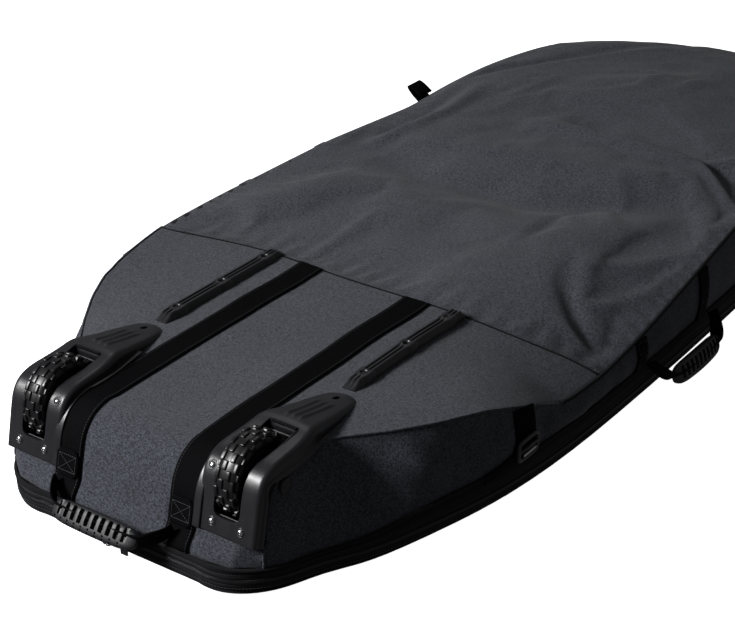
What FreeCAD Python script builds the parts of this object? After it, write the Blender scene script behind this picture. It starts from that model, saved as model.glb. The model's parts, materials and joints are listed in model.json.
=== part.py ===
import FreeCAD, Part
import math
import os

# Wheeled snowboard bag, lying on its zipped lid with the wheel side up.
# +X runs from the wheeled tail to the nose, +Y is the hinged long side, the floor is z = 0.
# Lengths along the bag are given as s, the distance from the foot of the tail face.

# ---- overall sizes ----
TAIL_X = -796.25
BAG_LENGTH = 1640.0
TAIL_BULGE = -12.0
TAIL_STRAIGHT = 120.0
SKIN = 6.0
SEAM_S = 490.0
TAIL_WALL_S = 45.0
NOSE_WALL_S = 1400.0
SIDE_WALL_TOP = 98.0

# plan outline: (distance from the tail, half width)
OUTLINE = [
    (TAIL_BULGE, TAIL_STRAIGHT), (-5.0, 168.0), (18.0, 198.0), (60.0, 218.0), (125.0, 253.0),
    (210.0, 285.0), (312.0, 312.0), (410.0, 327.0), (600.0, 336.0), (900.0, 334.0),
    (1150.0, 327.0), (1290.0, 318.0), (1390.0, 298.0), (1471.0, 266.0), (1532.0, 220.0),
    (1584.0, 164.0), (1620.0, 100.0),
]

# crowned top: (distance from the tail, edge height, centre height)
CROWN = [
    (-60.0, 146.0, 150.0), (90.0, 146.0, 150.0), (250.0, 138.0, 150.0), (490.0, 112.0, 152.0),
    (700.0, 112.0, 166.0), (1000.0, 132.0, 172.0), (1300.0, 132.0, 170.0), (1500.0, 116.0, 155.0),
    (1680.0, 100.0, 130.0),
]
CROWN_OVERHANG = 25.0

# ---- tail face ----
FACE_FOOT_S = -2.0
FACE_FOOT_Z = 44.0
FACE_LEAN = 0.23
FACE_TOP_Z = 112.0
FACE_BEND = (17.0, 29.0)
CREST_S = 90.0
CREST_RISE = 48.0

# ---- zip, band and piping heights ----
LID_PANEL_T = 6.0
LID_PAD_T = 6.0
LID_BAND_TOP = 14.0
LID_TAPE_TOP = 19.2
LID_TEETH_TOP = 21.4
SHELL_TEETH_BASE = 22.6
SHELL_TAPE_BASE = 24.8
SHELL_BAND_BASE = 30.0
SHELL_BAND_TOP = 44.0
BAND_T = 4.0
PIPING = 2.5
HINGE_S = (300.0, 1330.0)
HINGE_Y = 295.0
LID_PAD_INSET = 14.0
TAPE_INSET = (1.0, 2.6)
TEETH_INSET = (0.4, 3.6)
LID_PIPING_BASE = 2.0

# ---- wheels ----
WHEEL_S = 59.0
WHEEL_Y = 150.0
WHEEL_Z = 129.0
WHEEL_R = 50.0
TYRE_W = 32.0
TYRE_BORE_R = 34.0
BEARING_R = 11.0
BEARING_W = 7.0
BORE_CLEARANCE = 0.05
AXLE_R = 4.0
TYRE_ROUND = 6.0
HUB_SHORT = 2.0
HUB_WEB = 8.0
SPACER_R = 7.0
NUT_H = 6.5

# ---- wheel housings ----
PLATE_HALF = 41.0
PLATE_BASE_Z = 65.0
PLATE_T = 4.0
WELL_HALF = 20.0
WELL_END_S = 112.0
WELL_FLOOR_Z = 74.0
SLOT_HALF = 17.5
SLOT_BASE_Z = 94.0
SLOT_END_S = 104.0
FAIRING_S = 118.0
FAIRING_TIP_S = 253.0
FAIRING_TIP_HALF = 15.0
BEND_POINT = (36.0, 164.0)
CREST_POINT = (78.0, 182.0)
BROW_POINT = (122.0, 181.0)
NOSE_POINT = (245.0, 154.0)
PLATE_KNEE_Z = 128.0
TIP_Z = 140.0
HEEL_Z = 110.0
CAP_R = 13.0
CAP_H = 8.0
CAP_DOME_R = 20.0
CAP_CLEARANCE = 1.5
PLATE_SCREW_LOW = (20.5, 80.0)
PLATE_SCREW_HIGH = (33.0, 122.0)

# ---- rails ----
RAIL_S = (245.0, 494.0)
RAIL_HALF = 10.0
RAIL_TOP_HALF = 7.0
RAIL_H = 13.0
RAIL_SCREWS_S = (278.0, 370.0, 462.0)
RAIL_SEAT = 3.2
SHANK_R = 2.0

# ---- stiffener board and backing plates inside the tail ----
BOARD_S = (62.0, 480.0)
BOARD_HALF = 104.0
BOARD_T = 2.5
BACKING_HALF = 17.0
BACKING_T = 3.0

# ---- webbing ----
WEB_T = 1.8
STRAP_W = 38.0
STRAP_Y = 87.0
HANDLE_WEB_W = 25.0
WEB_FOOT_Z = 48.0
PATCH_HALF = 17.0
PATCH_RISE = (8.0, 40.0)

# ---- handles ----
GRIP_LENGTH = 130.0
GRIP_DEPTH = 14.0
GRIP_W = 28.0
HANDLE_SPAN = 184.0
TAIL_HANDLE_Y = 8.0
TAIL_HINGE_S = -10.0
TAIL_HINGE_Z = 62.0
TAIL_REACH = 32.0
TAIL_DROOP = 22.0
SIDE_HANDLE_S = 748.0
SIDE_HINGE_Y = 353.0
SIDE_HINGE_Z = 64.0
SIDE_REACH = 26.0
SIDE_DROOP = 58.0

# ---- zip sliders ----
SLIDER_Y = (14.0, -14.0)
SLIDER_HALF = 8.0
LUG_S = -18.0
LUG_Z = 22.0
RING_R = 8.0
RING_WIRE = 1.0

# ---- side straps and tie-downs ----
COMPRESSION_S = 372.0
BUCKLE_HALF = 23.0
BUCKLE_T = 6.0
BUCKLE_Z = (58.0, 84.0)
BUCKLE_SLOTS_Z = (62.0, 74.0)
BUCKLE_RIM = 4.0
THIN_STRAP_HALF = 12.0
LOOP_TAB_S = 1120.0
LOOP_TAB_Z = (102.0, 118.0)
LOOP_TAB_REACH = 14.0
LOOP_TAB_T = 2.5
TIE_DOWN_S = (690.0, 1130.0)
TIE_DOWN_REACH = 240.0
TIE_BUCKLE_HALF = (24.0, 26.0)
TIE_BUCKLE_T = 9.0

# ---- cutting blocks reach past the bag to these planes ----
TOP = 400.0
UNDER = -20.0
BEFORE = -60.0
BEYOND = BAG_LENGTH + 100.0


def at(s, y, z):
    return FreeCAD.Vector(TAIL_X + s, y, z)


def block(s_range, y_range, z_range):
    """Box between two distances along the bag, two sides and two heights."""
    size = (s_range[1] - s_range[0], y_range[1] - y_range[0], z_range[1] - z_range[0])
    return Part.makeBox(size[0], size[1], size[2], at(s_range[0], y_range[0], z_range[0]))


def rod(radius, start, end):
    """Round bar from one point to another."""
    return Part.makeCylinder(radius, start.distanceToPoint(end), start, end - start)


def tube(outer, inner, start, end):
    return rod(outer, start, end).cut(rod(inner, start, end))


def mirrored(shape):
    """The same piece on the other side of the bag."""
    return shape.mirror(FreeCAD.Vector(0, 0, 0), FreeCAD.Vector(0, 1, 0))


def joined(shapes):
    """One solid from pieces that touch."""
    result = shapes[0]
    for shape in shapes[1:]:
        result = result.fuse(shape)
    return result.removeSplitter()


def outline_curve():
    """Spline round both long sides and the nose, from one end of the straight tail to the other."""
    near = [at(s, -half, 0) for s, half in OUTLINE]
    far = [at(s, half, 0) for s, half in reversed(OUTLINE)]
    curve = Part.BSplineCurve()
    curve.interpolate(Points=near + [at(BAG_LENGTH, 0, 0)] + far)
    return curve


def outline(inset, samples=72):
    """Plan outline moved inwards by inset (outwards when negative), as a closed flat wire."""
    curve = outline_curve()
    first, last = curve.FirstParameter, curve.LastParameter
    points = []
    for index in range(samples + 1):
        parameter = first + (last - first) * index / samples
        tangent = curve.tangent(parameter)[0]
        inward = FreeCAD.Vector(-tangent.y, tangent.x, 0)
        points.append(curve.value(parameter) + inward * inset)
    offset = Part.BSplineCurve()
    offset.interpolate(Points=points)
    tail = Part.LineSegment(points[-1], points[0])
    return Part.Wire([offset.toShape(), tail.toShape()])


def prism(inset, bottom, top):
    """Upright block with the plan outline."""
    wire = outline(inset)
    wire.translate(FreeCAD.Vector(0, 0, bottom))
    return Part.Face(wire).extrude(FreeCAD.Vector(0, 0, top - bottom))


def ring(outside, inside, bottom, top):
    """Upright band that follows the plan outline."""
    return prism(outside, bottom, top).cut(prism(inside, bottom - 1.0, top + 1.0))


def half_width(s):
    """Half width of the plan outline at a distance from the tail."""
    points = OUTLINE + [(BAG_LENGTH, 60.0)]
    for (s0, w0), (s1, w1) in zip(points, points[1:]):
        if s <= s1:
            return w0 + (w1 - w0) * max(0.0, s - s0) / (s1 - s0)
    return points[-1][1]


def crowned_block(drop):
    """Block whose top is the bag's crowned top surface, lowered by drop."""
    sections = []
    for s, edge, centre in CROWN:
        side = half_width(s) + CROWN_OVERHANG
        left, right = at(s, -side, edge - drop), at(s, side, edge - drop)
        arc = Part.Arc(right, at(s, 0, centre - drop), left).toShape()
        low_left, low_right = at(s, -side, UNDER), at(s, side, UNDER)
        sides = [Part.LineSegment(left, low_left), Part.LineSegment(low_left, low_right)]
        sides.append(Part.LineSegment(low_right, right))
        sections.append(Part.Wire([arc] + [side_line.toShape() for side_line in sides]))
    return Part.makeLoft(sections, True, False)


def face_s(z):
    """Distance of the leaning tail face from the origin of s, at height z."""
    return FACE_FOOT_S + FACE_LEAN * (z - FACE_FOOT_Z)


def tail_profile(shift):
    """Side view of the bag with its leaning tail face and rounded upper edge, moved inwards."""
    foot = at(face_s(0.0) + shift, -TOP, UNDER)
    knee = at(face_s(FACE_TOP_Z) + shift, -TOP, FACE_TOP_Z - shift)
    bend = at(face_s(FACE_TOP_Z) + FACE_BEND[0] + shift, -TOP, FACE_TOP_Z + FACE_BEND[1] - shift)
    crest = at(CREST_S + shift, -TOP, FACE_TOP_Z + CREST_RISE - shift)
    far_top = at(BEYOND, -TOP, TOP)
    far_foot = at(BEYOND, -TOP, UNDER)
    arc = Part.Arc(knee, bend, crest).toShape()
    lines = [(foot, knee), (crest, far_top), (far_top, far_foot), (far_foot, foot)]
    edges = [Part.LineSegment(a, b).toShape() for a, b in lines]
    wire = Part.Wire([edges[0], arc] + edges[1:])
    return Part.Face(wire).extrude(FreeCAD.Vector(0, 2 * TOP, 0))


def bag_block(inset, bottom):
    """Solid of the upper shell, inset on every side except the bottom."""
    body = prism(inset, bottom, TOP)
    return body.common(crowned_block(inset)).common(tail_profile(inset))


OUTER = bag_block(0.0, SHELL_BAND_TOP)
INNER = bag_block(SKIN, SHELL_BAND_TOP - 10.0)
SKIN_SOLID = OUTER.cut(INNER)
WEB_LAYER = bag_block(-WEB_T, SHELL_BAND_TOP).cut(OUTER)
parts = {}


def height_of(shape, s, y):
    """Height of a shape's top surface above one point of the floor."""
    plumb = Part.makeLine(at(s, y, UNDER), at(s, y, TOP)).common(shape)
    return max(vertex.Z for vertex in plumb.Vertexes)


def add(name, shape):
    parts[name] = shape


def both(name, near_shape):
    """A piece on the near side and its mirror on the far side."""
    add("near_" + name, near_shape)
    add("far_" + name, mirrored(near_shape))


# ---------------------------------------------------------------- lid
def lid():
    add("lid_panel", prism(0.0, 0.0, LID_PANEL_T))
    add("lid_padding", prism(LID_PAD_INSET, LID_PANEL_T, LID_PANEL_T + LID_PAD_T))
    hinge = block(HINGE_S, (HINGE_Y, TOP), (LID_BAND_TOP, TOP))
    low_band = ring(0.0, BAND_T, LID_PANEL_T, LID_BAND_TOP)
    hinge_lip = ring(0.0, BAND_T, LID_BAND_TOP, LID_TEETH_TOP).common(hinge)
    add("lid_band", joined([low_band, hinge_lip]))
    add("lid_piping", ring(-PIPING, 0.0, LID_PIPING_BASE, LID_PIPING_BASE + 2 * PIPING))
    add("lid_zip_tape", ring(TAPE_INSET[0], TAPE_INSET[1], LID_BAND_TOP, LID_TAPE_TOP).cut(hinge))
    add("lid_zip_teeth", ring(TEETH_INSET[0], TEETH_INSET[1], LID_TAPE_TOP, LID_TEETH_TOP).cut(hinge))


# ---------------------------------------------------------------- shell fabric
def opened(fabric):
    """Fabric without the wheel wells, which are plastic, and with an eyelet for each axle cap."""
    well_y = (-WHEEL_Y - PLATE_HALF, -WHEEL_Y + PLATE_HALF)
    well = block((BEFORE, FAIRING_S), well_y, (PLATE_BASE_Z, TOP))
    eyelet = rod(CAP_R + CAP_CLEARANCE, wheel_point(0.0), wheel_point(-TOP))
    for opening in (well, eyelet):
        fabric = fabric.cut(opening).cut(mirrored(opening))
    return fabric


def shell():
    wide = (-TOP, TOP)
    above = (SIDE_WALL_TOP, TOP)
    below = (0.0, SIDE_WALL_TOP)
    add("tail_wall", opened(SKIN_SOLID.common(block((BEFORE, TAIL_WALL_S), wide, (0.0, TOP)))))
    add("tail_top_panel", opened(SKIN_SOLID.common(block((TAIL_WALL_S, SEAM_S), wide, above))))
    add("main_top_panel", SKIN_SOLID.common(block((SEAM_S, BEYOND), wide, above)))
    both("side_wall", opened(SKIN_SOLID.common(block((TAIL_WALL_S, NOSE_WALL_S), (-TOP, 0.0), below))))
    add("nose_wall", SKIN_SOLID.common(block((NOSE_WALL_S, BEYOND), wide, below)))
    hinge = block(HINGE_S, (HINGE_Y, TOP), (SHELL_TEETH_BASE, SHELL_BAND_BASE))
    add("shell_band", ring(0.0, BAND_T, SHELL_BAND_BASE, SHELL_BAND_TOP))
    add("shell_zip_tape", ring(TAPE_INSET[0], TAPE_INSET[1], SHELL_TAPE_BASE, SHELL_BAND_BASE).cut(hinge))
    add("shell_zip_teeth", ring(TEETH_INSET[0], TEETH_INSET[1], SHELL_TEETH_BASE, SHELL_TAPE_BASE).cut(hinge))
    add("hinge_tape", ring(0.0, BAND_T, SHELL_TEETH_BASE, SHELL_BAND_BASE).common(hinge))
    add("shell_piping", ring(-PIPING, 0.0, SHELL_BAND_TOP - BAND_T, SHELL_BAND_TOP + 1.0).cut(OUTER))


# ---------------------------------------------------------------- tail frame inside
def screw_hole(s, y):
    """Upright hole for a rail screw."""
    return rod(SHANK_R, at(s, y, UNDER), at(s, y, TOP))


def frame():
    above = (SIDE_WALL_TOP, TOP)
    board_zone = block(BOARD_S, (-BOARD_HALF, BOARD_HALF), above)
    add("tail_stiffener_board", INNER.cut(bag_block(SKIN + BOARD_T, 0.0)).common(board_zone))
    plate_y = (-WHEEL_Y - BACKING_HALF, -WHEEL_Y + BACKING_HALF)
    plate_zone = block((FAIRING_S + 4.0, RAIL_S[1]), plate_y, above)
    plate = INNER.cut(bag_block(SKIN + BACKING_T, 0.0)).common(plate_zone)
    for s in RAIL_SCREWS_S:
        plate = plate.cut(screw_hole(s, -WHEEL_Y))
    add("backing_plates", Part.makeCompound([plate, mirrored(plate)]))


# ---------------------------------------------------------------- wheel housings
def housing_profile(shift):
    """Side view of the wheel housing, from the foot of its plate over the wheel to the fairing tip."""
    y = -WHEEL_Y - PLATE_HALF + shift
    foot = at(face_s(PLATE_BASE_Z) - PLATE_T + shift, y, PLATE_BASE_Z)
    knee = at(face_s(PLATE_KNEE_Z) - PLATE_T + shift, y, PLATE_KNEE_Z)
    bend = at(BEND_POINT[0] + shift, y, BEND_POINT[1] - shift)
    crest = at(CREST_POINT[0], y, CREST_POINT[1] - shift)
    brow = at(BROW_POINT[0], y, BROW_POINT[1] - shift)
    nose = at(NOSE_POINT[0] - shift, y, NOSE_POINT[1] - shift)
    tip = at(FAIRING_TIP_S - shift, y, TIP_Z)
    heel = at(FAIRING_TIP_S - shift, y, HEEL_Z)
    tuck = at(FAIRING_S, y, HEEL_Z)
    back = at(FAIRING_S, y, PLATE_BASE_Z)
    arc = Part.Arc(knee, bend, crest).toShape()
    lines = [(crest, brow), (brow, nose), (nose, tip), (tip, heel), (heel, tuck), (tuck, back), (back, foot)]
    edges = [Part.LineSegment(a, b).toShape() for a, b in lines]
    wire = Part.Wire([Part.LineSegment(foot, knee).toShape(), arc] + edges)
    return Part.Face(wire).extrude(FreeCAD.Vector(0, 2 * (PLATE_HALF - shift), 0))


def fairing_plan(shift):
    """Plan view of the housing: full width at the wheel, tapering to the tip."""
    wide, narrow = PLATE_HALF - shift, FAIRING_TIP_HALF - shift
    corners = [(BEFORE, wide), (BROW_POINT[0] + 10.0, wide), (FAIRING_TIP_S + 5.0, narrow)]
    points = [at(s, -WHEEL_Y - half, 0) for s, half in corners]
    points += [at(s, -WHEEL_Y + half, 0) for s, half in reversed(corners)]
    return Part.Face(Part.makePolygon(points + [points[0]])).extrude(FreeCAD.Vector(0, 0, TOP))


def face_normal():
    return FreeCAD.Vector(-1, 0, FACE_LEAN).normalize()


def plate_screw_points():
    """Where the three screws of the near housing go through its plate."""
    points = []
    low, high = PLATE_SCREW_LOW, PLATE_SCREW_HIGH
    for y, z in ((-low[0], low[1]), low, high):
        points.append(at(face_s(z) - PLATE_T, -WHEEL_Y + y, z))
    return points


def wheel_housing():
    body = housing_profile(0.0).common(fairing_plan(0.0))
    well = (-WHEEL_Y - WELL_HALF, -WHEEL_Y + WELL_HALF)
    slot = (-WHEEL_Y - SLOT_HALF, -WHEEL_Y + SLOT_HALF)
    cavity = housing_profile(PLATE_T).common(block((0.0, WELL_END_S), well, (WELL_FLOOR_Z, TOP)))
    body = body.cut(cavity)
    body = body.cut(block((BEFORE, SLOT_END_S), slot, (SLOT_BASE_Z, TOP)))
    hollow = housing_profile(PLATE_T).common(fairing_plan(PLATE_T))
    for side in (-1.0, 1.0):
        inner_y = -WHEEL_Y + side * (WELL_HALF + 3.0)
        outer_y = -WHEEL_Y + side * (PLATE_HALF - PLATE_T)
        chamber = block((20.0, FAIRING_S), (min(inner_y, outer_y), max(inner_y, outer_y)), (0.0, TOP))
        body = body.cut(hollow.common(chamber))
    body = body.cut(hollow.common(block((FAIRING_S, TOP), (-TOP, 0.0), (0.0, TOP))))
    body = body.cut(OUTER.common(block((FAIRING_S, TOP), (-TOP, 0.0), (0.0, TOP))))
    body = body.cut(rod(AXLE_R, wheel_point(-2 * PLATE_HALF), wheel_point(2 * PLATE_HALF)))
    for point in plate_screw_points():
        body = body.cut(rod(SHANK_R, point + face_normal() * PLATE_T, point - face_normal() * WELL_HALF))
    return max(body.Solids, key=lambda solid: solid.Volume)


def screw(point, axis, head_r, head_h, length):
    """Pan head above the point, shank below it."""
    head = Part.makeCylinder(head_r, head_h, point, axis)
    head = head.makeFillet(0.4 * head_h, [head.Edges[0]])
    return head.fuse(Part.makeCylinder(SHANK_R, length, point, axis * -1.0)).removeSplitter()


def housings():
    both("wheel_housing", wheel_housing())
    near = [screw(point, face_normal(), 4.5, 2.4, 7.0) for point in plate_screw_points()]
    add("housing_screws", Part.makeCompound(near + [mirrored(item) for item in near]))


# ---------------------------------------------------------------- skid rails
def rail_top(s):
    """Height of the rail's foot: the crowned panel along the wheel line."""
    return height_of(OUTER, s, -WHEEL_Y)


def skid_rail():
    start, end = RAIL_S
    low_start, low_end = rail_top(start), rail_top(end)
    sections = []
    for s, rise in ((start, 2.5), (start + 14.0, RAIL_H), (end - 10.0, RAIL_H), (end, 3.0)):
        foot = low_start + (low_end - low_start) * (s - start) / (end - start)
        corners = [(-RAIL_HALF, -8.0), (RAIL_HALF, -8.0), (RAIL_TOP_HALF, rise), (-RAIL_TOP_HALF, rise)]
        points = [at(s, -WHEEL_Y + y, foot + z) for y, z in corners]
        sections.append(Part.makePolygon(points + [points[0]]))
    rail = Part.makeLoft(sections, True, True).cut(OUTER)
    rail = rail.cut(parts["near_wheel_housing"])
    for s in RAIL_SCREWS_S:
        rail = rail.cut(screw_hole(s, -WHEEL_Y))
        rail = rail.cut(rod(3.8, at(s, -WHEEL_Y, rail_top(s) + RAIL_H - RAIL_SEAT), at(s, -WHEEL_Y, TOP)))
    return max(rail.Solids, key=lambda solid: solid.Volume)


def rails():
    both("skid_rail", skid_rail())
    near = []
    for s in RAIL_SCREWS_S:
        seat = rail_top(s) + RAIL_H - RAIL_SEAT
        near.append(screw(at(s, -WHEEL_Y, seat), FreeCAD.Vector(0, 0, 1), 3.7, 2.2, 20.0))
    add("rail_screws", Part.makeCompound(near + [mirrored(item) for item in near]))
    panel = parts["tail_top_panel"]
    for s in RAIL_SCREWS_S:
        for y in (-WHEEL_Y, WHEEL_Y):
            panel = panel.cut(screw_hole(s, y))
    add("tail_top_panel", panel)


# ---------------------------------------------------------------- wheels
def wheel_point(y, s=WHEEL_S, z=WHEEL_Z):
    return at(s, -WHEEL_Y + y, z)


def wheels():
    half = TYRE_W / 2.0
    tyre = tube(WHEEL_R, TYRE_BORE_R, wheel_point(-half), wheel_point(half))
    rims = [edge for edge in tyre.Edges if abs(edge.BoundBox.ZLength - 2 * WHEEL_R) < 0.5]
    both("tyre", tyre.makeFillet(TYRE_ROUND, rims))
    hub_end = half - HUB_SHORT
    hub = tube(TYRE_BORE_R, AXLE_R + 2.0, wheel_point(-hub_end), wheel_point(hub_end))
    for side in (-1.0, 1.0):
        outer = side * hub_end
        hub = hub.cut(rod(BEARING_R, wheel_point(outer), wheel_point(outer - side * BEARING_W)))
        recess = (wheel_point(outer), wheel_point(outer - side * HUB_WEB))
        hub = hub.cut(tube(TYRE_BORE_R - 4.0, BEARING_R + 5.0, recess[0], recess[1]))
    both("wheel_hub", hub)
    bearings = []
    for side in (-1.0, 1.0):
        outer = side * hub_end
        ends = (wheel_point(outer), wheel_point(outer - side * BEARING_W))
        bearings.append(tube(BEARING_R, AXLE_R + BORE_CLEARANCE, ends[0], ends[1]))
    both("wheel_bearings", Part.makeCompound(bearings))
    both("axle", rod(AXLE_R, wheel_point(-PLATE_HALF), wheel_point(WELL_HALF + 14.0)))
    cap = rod(CAP_R, wheel_point(-PLATE_HALF - CAP_H), wheel_point(-PLATE_HALF))
    dome = Part.makeSphere(CAP_DOME_R, wheel_point(-PLATE_HALF - CAP_H + CAP_DOME_R))
    cap = cap.common(dome)
    add("axle_caps", Part.makeCompound([cap, mirrored(cap)]))
    near = []
    for side in (-1.0, 1.0):
        ends = (wheel_point(side * (hub_end + 0.5)), wheel_point(side * WELL_HALF))
        near.append(tube(SPACER_R, AXLE_R, ends[0], ends[1]))
    add("axle_spacers", Part.makeCompound(near + [mirrored(item) for item in near]))
    nut_foot = wheel_point(WELL_HALF + 3.0)
    corners = []
    for turn in [math.radians(60.0 * corner) for corner in range(7)]:
        corners.append(nut_foot + FreeCAD.Vector(math.cos(turn), 0, math.sin(turn)) * SPACER_R)
    nut = Part.Face(Part.makePolygon(corners)).extrude(FreeCAD.Vector(0, NUT_H, 0))
    nut = nut.cut(rod(AXLE_R, wheel_point(0.0), wheel_point(PLATE_HALF)))
    add("axle_nuts", Part.makeCompound([nut, mirrored(nut)]))


# ---------------------------------------------------------------- straps sewn to the shell
def straps():
    zone = block((BEFORE, SEAM_S), (-STRAP_Y - STRAP_W / 2, -STRAP_Y + STRAP_W / 2), (WEB_FOOT_Z, TOP))
    both("tail_strap", WEB_LAYER.common(zone))
    patch_layer = bag_block(-2 * WEB_T, SHELL_BAND_TOP).cut(bag_block(-WEB_T, SHELL_BAND_TOP))
    patch_z = (TAIL_HINGE_Z + PATCH_RISE[0], TAIL_HINGE_Z + PATCH_RISE[1])
    patch = block((BEFORE, WHEEL_S), (-STRAP_Y - PATCH_HALF, -STRAP_Y + PATCH_HALF), patch_z)
    near_patch = patch_layer.common(patch)
    add("handle_patches", Part.makeCompound([near_patch, mirrored(near_patch)]))
    legs = []
    for s in (SIDE_HANDLE_S - HANDLE_SPAN / 2, SIDE_HANDLE_S + HANDLE_SPAN / 2):
        leg_z = (WEB_FOOT_Z, SIDE_WALL_TOP - PIPING - 0.5)
        leg = block((s - STRAP_W / 2, s + STRAP_W / 2), (-TOP, 0.0), leg_z)
        legs.append(WEB_LAYER.common(leg))
    both("side_handle_legs", Part.makeCompound(legs))


def compression_buckle():
    """Ladder buckle: a frame with two slots that the strap is threaded through."""
    ends = (COMPRESSION_S - BUCKLE_HALF, COMPRESSION_S + BUCKLE_HALF)
    back = half_width(ends[1]) + WEB_T + 1.5
    plate = block(ends, (-back - BUCKLE_T, -back), BUCKLE_Z)
    for low in BUCKLE_SLOTS_Z:
        slot = block((ends[0] + BUCKLE_RIM, ends[1] - BUCKLE_RIM), (-TOP, 0.0), (low, low + BUCKLE_T))
        plate = plate.cut(slot)
    return plate


def side_straps():
    half = STRAP_W / 2
    thin = THIN_STRAP_HALF
    upper_z = (BUCKLE_SLOTS_Z[1] + 2.0, SIDE_WALL_TOP)
    lower_z = (WEB_FOOT_Z, BUCKLE_SLOTS_Z[0] + 4.0)
    upper = block((COMPRESSION_S - half, COMPRESSION_S + half), (-TOP, 0.0), upper_z)
    lower = block((COMPRESSION_S - thin, COMPRESSION_S + thin), (-TOP, 0.0), lower_z)
    both("compression_strap", Part.makeCompound([WEB_LAYER.common(upper), WEB_LAYER.common(lower)]))
    both("compression_buckle", compression_buckle())
    wall = half_width(LOOP_TAB_S)
    tab_s = (LOOP_TAB_S - thin, LOOP_TAB_S + thin)
    low, high = LOOP_TAB_Z
    tab = block(tab_s, (wall - 2.0, wall + LOOP_TAB_REACH), LOOP_TAB_Z)
    hole = block(tab_s, (wall, wall + LOOP_TAB_REACH - LOOP_TAB_T), (low + LOOP_TAB_T, high - LOOP_TAB_T))
    add("far_loop_tab", tab.cut(hole).cut(OUTER))


def tie_downs():
    """Straps inside the main compartment that hold the board against the shell."""
    under_webbing = bag_block(SKIN + WEB_T, 0.0)
    layer = INNER.cut(under_webbing)
    bands, buckles = [], []
    half, (along, across) = STRAP_W / 2, TIE_BUCKLE_HALF
    for s in TIE_DOWN_S:
        reach = (-TIE_DOWN_REACH, TIE_DOWN_REACH)
        bands.append(layer.common(block((s - half, s + half), reach, (SIDE_WALL_TOP, TOP))))
        top = height_of(under_webbing, s, across) - WEB_T
        plate = block((s - along, s + along), (-across, across), (top - TIE_BUCKLE_T, top))
        window = block((s - along + BUCKLE_RIM, s + along - BUCKLE_RIM), (-BUCKLE_T, BUCKLE_T), (0.0, TOP))
        buckles.append(plate.cut(window))
    add("tie_down_straps", Part.makeCompound(bands))
    add("tie_down_buckles", Part.makeCompound(buckles))


# ---------------------------------------------------------------- carrying handles
def handle_webbing(reach):
    """Strip standing on edge that bows out from its two sewn ends and runs through the grip."""
    end, grip = HANDLE_SPAN / 2, GRIP_LENGTH / 2 - 4.0
    outer = [(-end, 0.0), (-grip, -reach), (grip, -reach), (end, 0.0)]
    path = [FreeCAD.Vector(depth, along, -HANDLE_WEB_W / 2) for along, depth in outer]
    back = [point + FreeCAD.Vector(WEB_T, 0, 0) for point in reversed(path)]
    face = Part.Face(Part.makePolygon(path + back + [path[0]]))
    return face.extrude(FreeCAD.Vector(0, 0, HANDLE_WEB_W))


def handle_grip(reach):
    """Moulded grip with cross slots on its outer face, threaded over the webbing."""
    size = (GRIP_DEPTH, GRIP_LENGTH, GRIP_W)
    corner = FreeCAD.Vector(-reach - GRIP_DEPTH / 2, -GRIP_LENGTH / 2, -GRIP_W / 2)
    grip = Part.makeBox(size[0], size[1], size[2], corner)
    grip = grip.makeFillet(4.5, grip.Edges)
    pitch = GRIP_LENGTH / 12.0
    for index in range(10):
        y = (index - 4.5) * pitch
        slot = Part.makeBox(4.0, 4.0, 12.0, FreeCAD.Vector(corner.x - 1.0, y - 2.0, -6.0))
        grip = grip.cut(slot)
    return grip.cut(handle_webbing(reach))


def handle(reach, droop, place):
    """Both pieces of a handle, built at the origin facing -X, drooped and put in place."""
    pieces = []
    for piece in (handle_webbing(reach), handle_grip(reach)):
        piece.rotate(FreeCAD.Vector(0, 0, 0), FreeCAD.Vector(0, 1, 0), -droop)
        pieces.append(place(piece))
    return pieces


def handles():
    def on_tail(piece):
        piece.translate(at(TAIL_HINGE_S, TAIL_HANDLE_Y, TAIL_HINGE_Z))
        return piece

    def on_near_side(piece):
        piece.rotate(FreeCAD.Vector(0, 0, 0), FreeCAD.Vector(0, 0, 1), 90.0)
        piece.translate(at(SIDE_HANDLE_S, -SIDE_HINGE_Y, SIDE_HINGE_Z))
        return piece

    webbing, grip = handle(TAIL_REACH, TAIL_DROOP, on_tail)
    add("tail_handle_webbing", webbing)
    add("tail_handle_grip", grip)
    webbing, grip = handle(SIDE_REACH, SIDE_DROOP, on_near_side)
    both("side_handle_webbing", webbing)
    both("side_handle_grip", grip)


# ---------------------------------------------------------------- zip sliders and pulls
def slider(y):
    """Two plates round the teeth, a post in the gap between the rows and a lug for the pull."""
    outer = block((TAIL_BULGE - 3.4, TAIL_BULGE - 0.6), (y - SLIDER_HALF, y + SLIDER_HALF), (15.0, 29.0))
    inner = block((TAIL_BULGE + 4.6, TAIL_BULGE + 6.6), (y - SLIDER_HALF, y + SLIDER_HALF), (16.0, 28.0))
    gap = (LID_TEETH_TOP + 0.2, SHELL_TEETH_BASE - 0.2)
    post = block((TAIL_BULGE - 0.6, TAIL_BULGE + 4.6), (y - 5.0, y + 5.0), gap)
    lug = block((LUG_S - 2.6, TAIL_BULGE - 3.4), (y - 1.5, y + 1.5), (LUG_Z - 2.8, LUG_Z + 2.8))
    hole = rod(RING_WIRE + 0.3, at(LUG_S, y - 5.0, LUG_Z), at(LUG_S, y + 5.0, LUG_Z))
    return joined([outer, inner, post, lug]).cut(hole)


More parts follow.
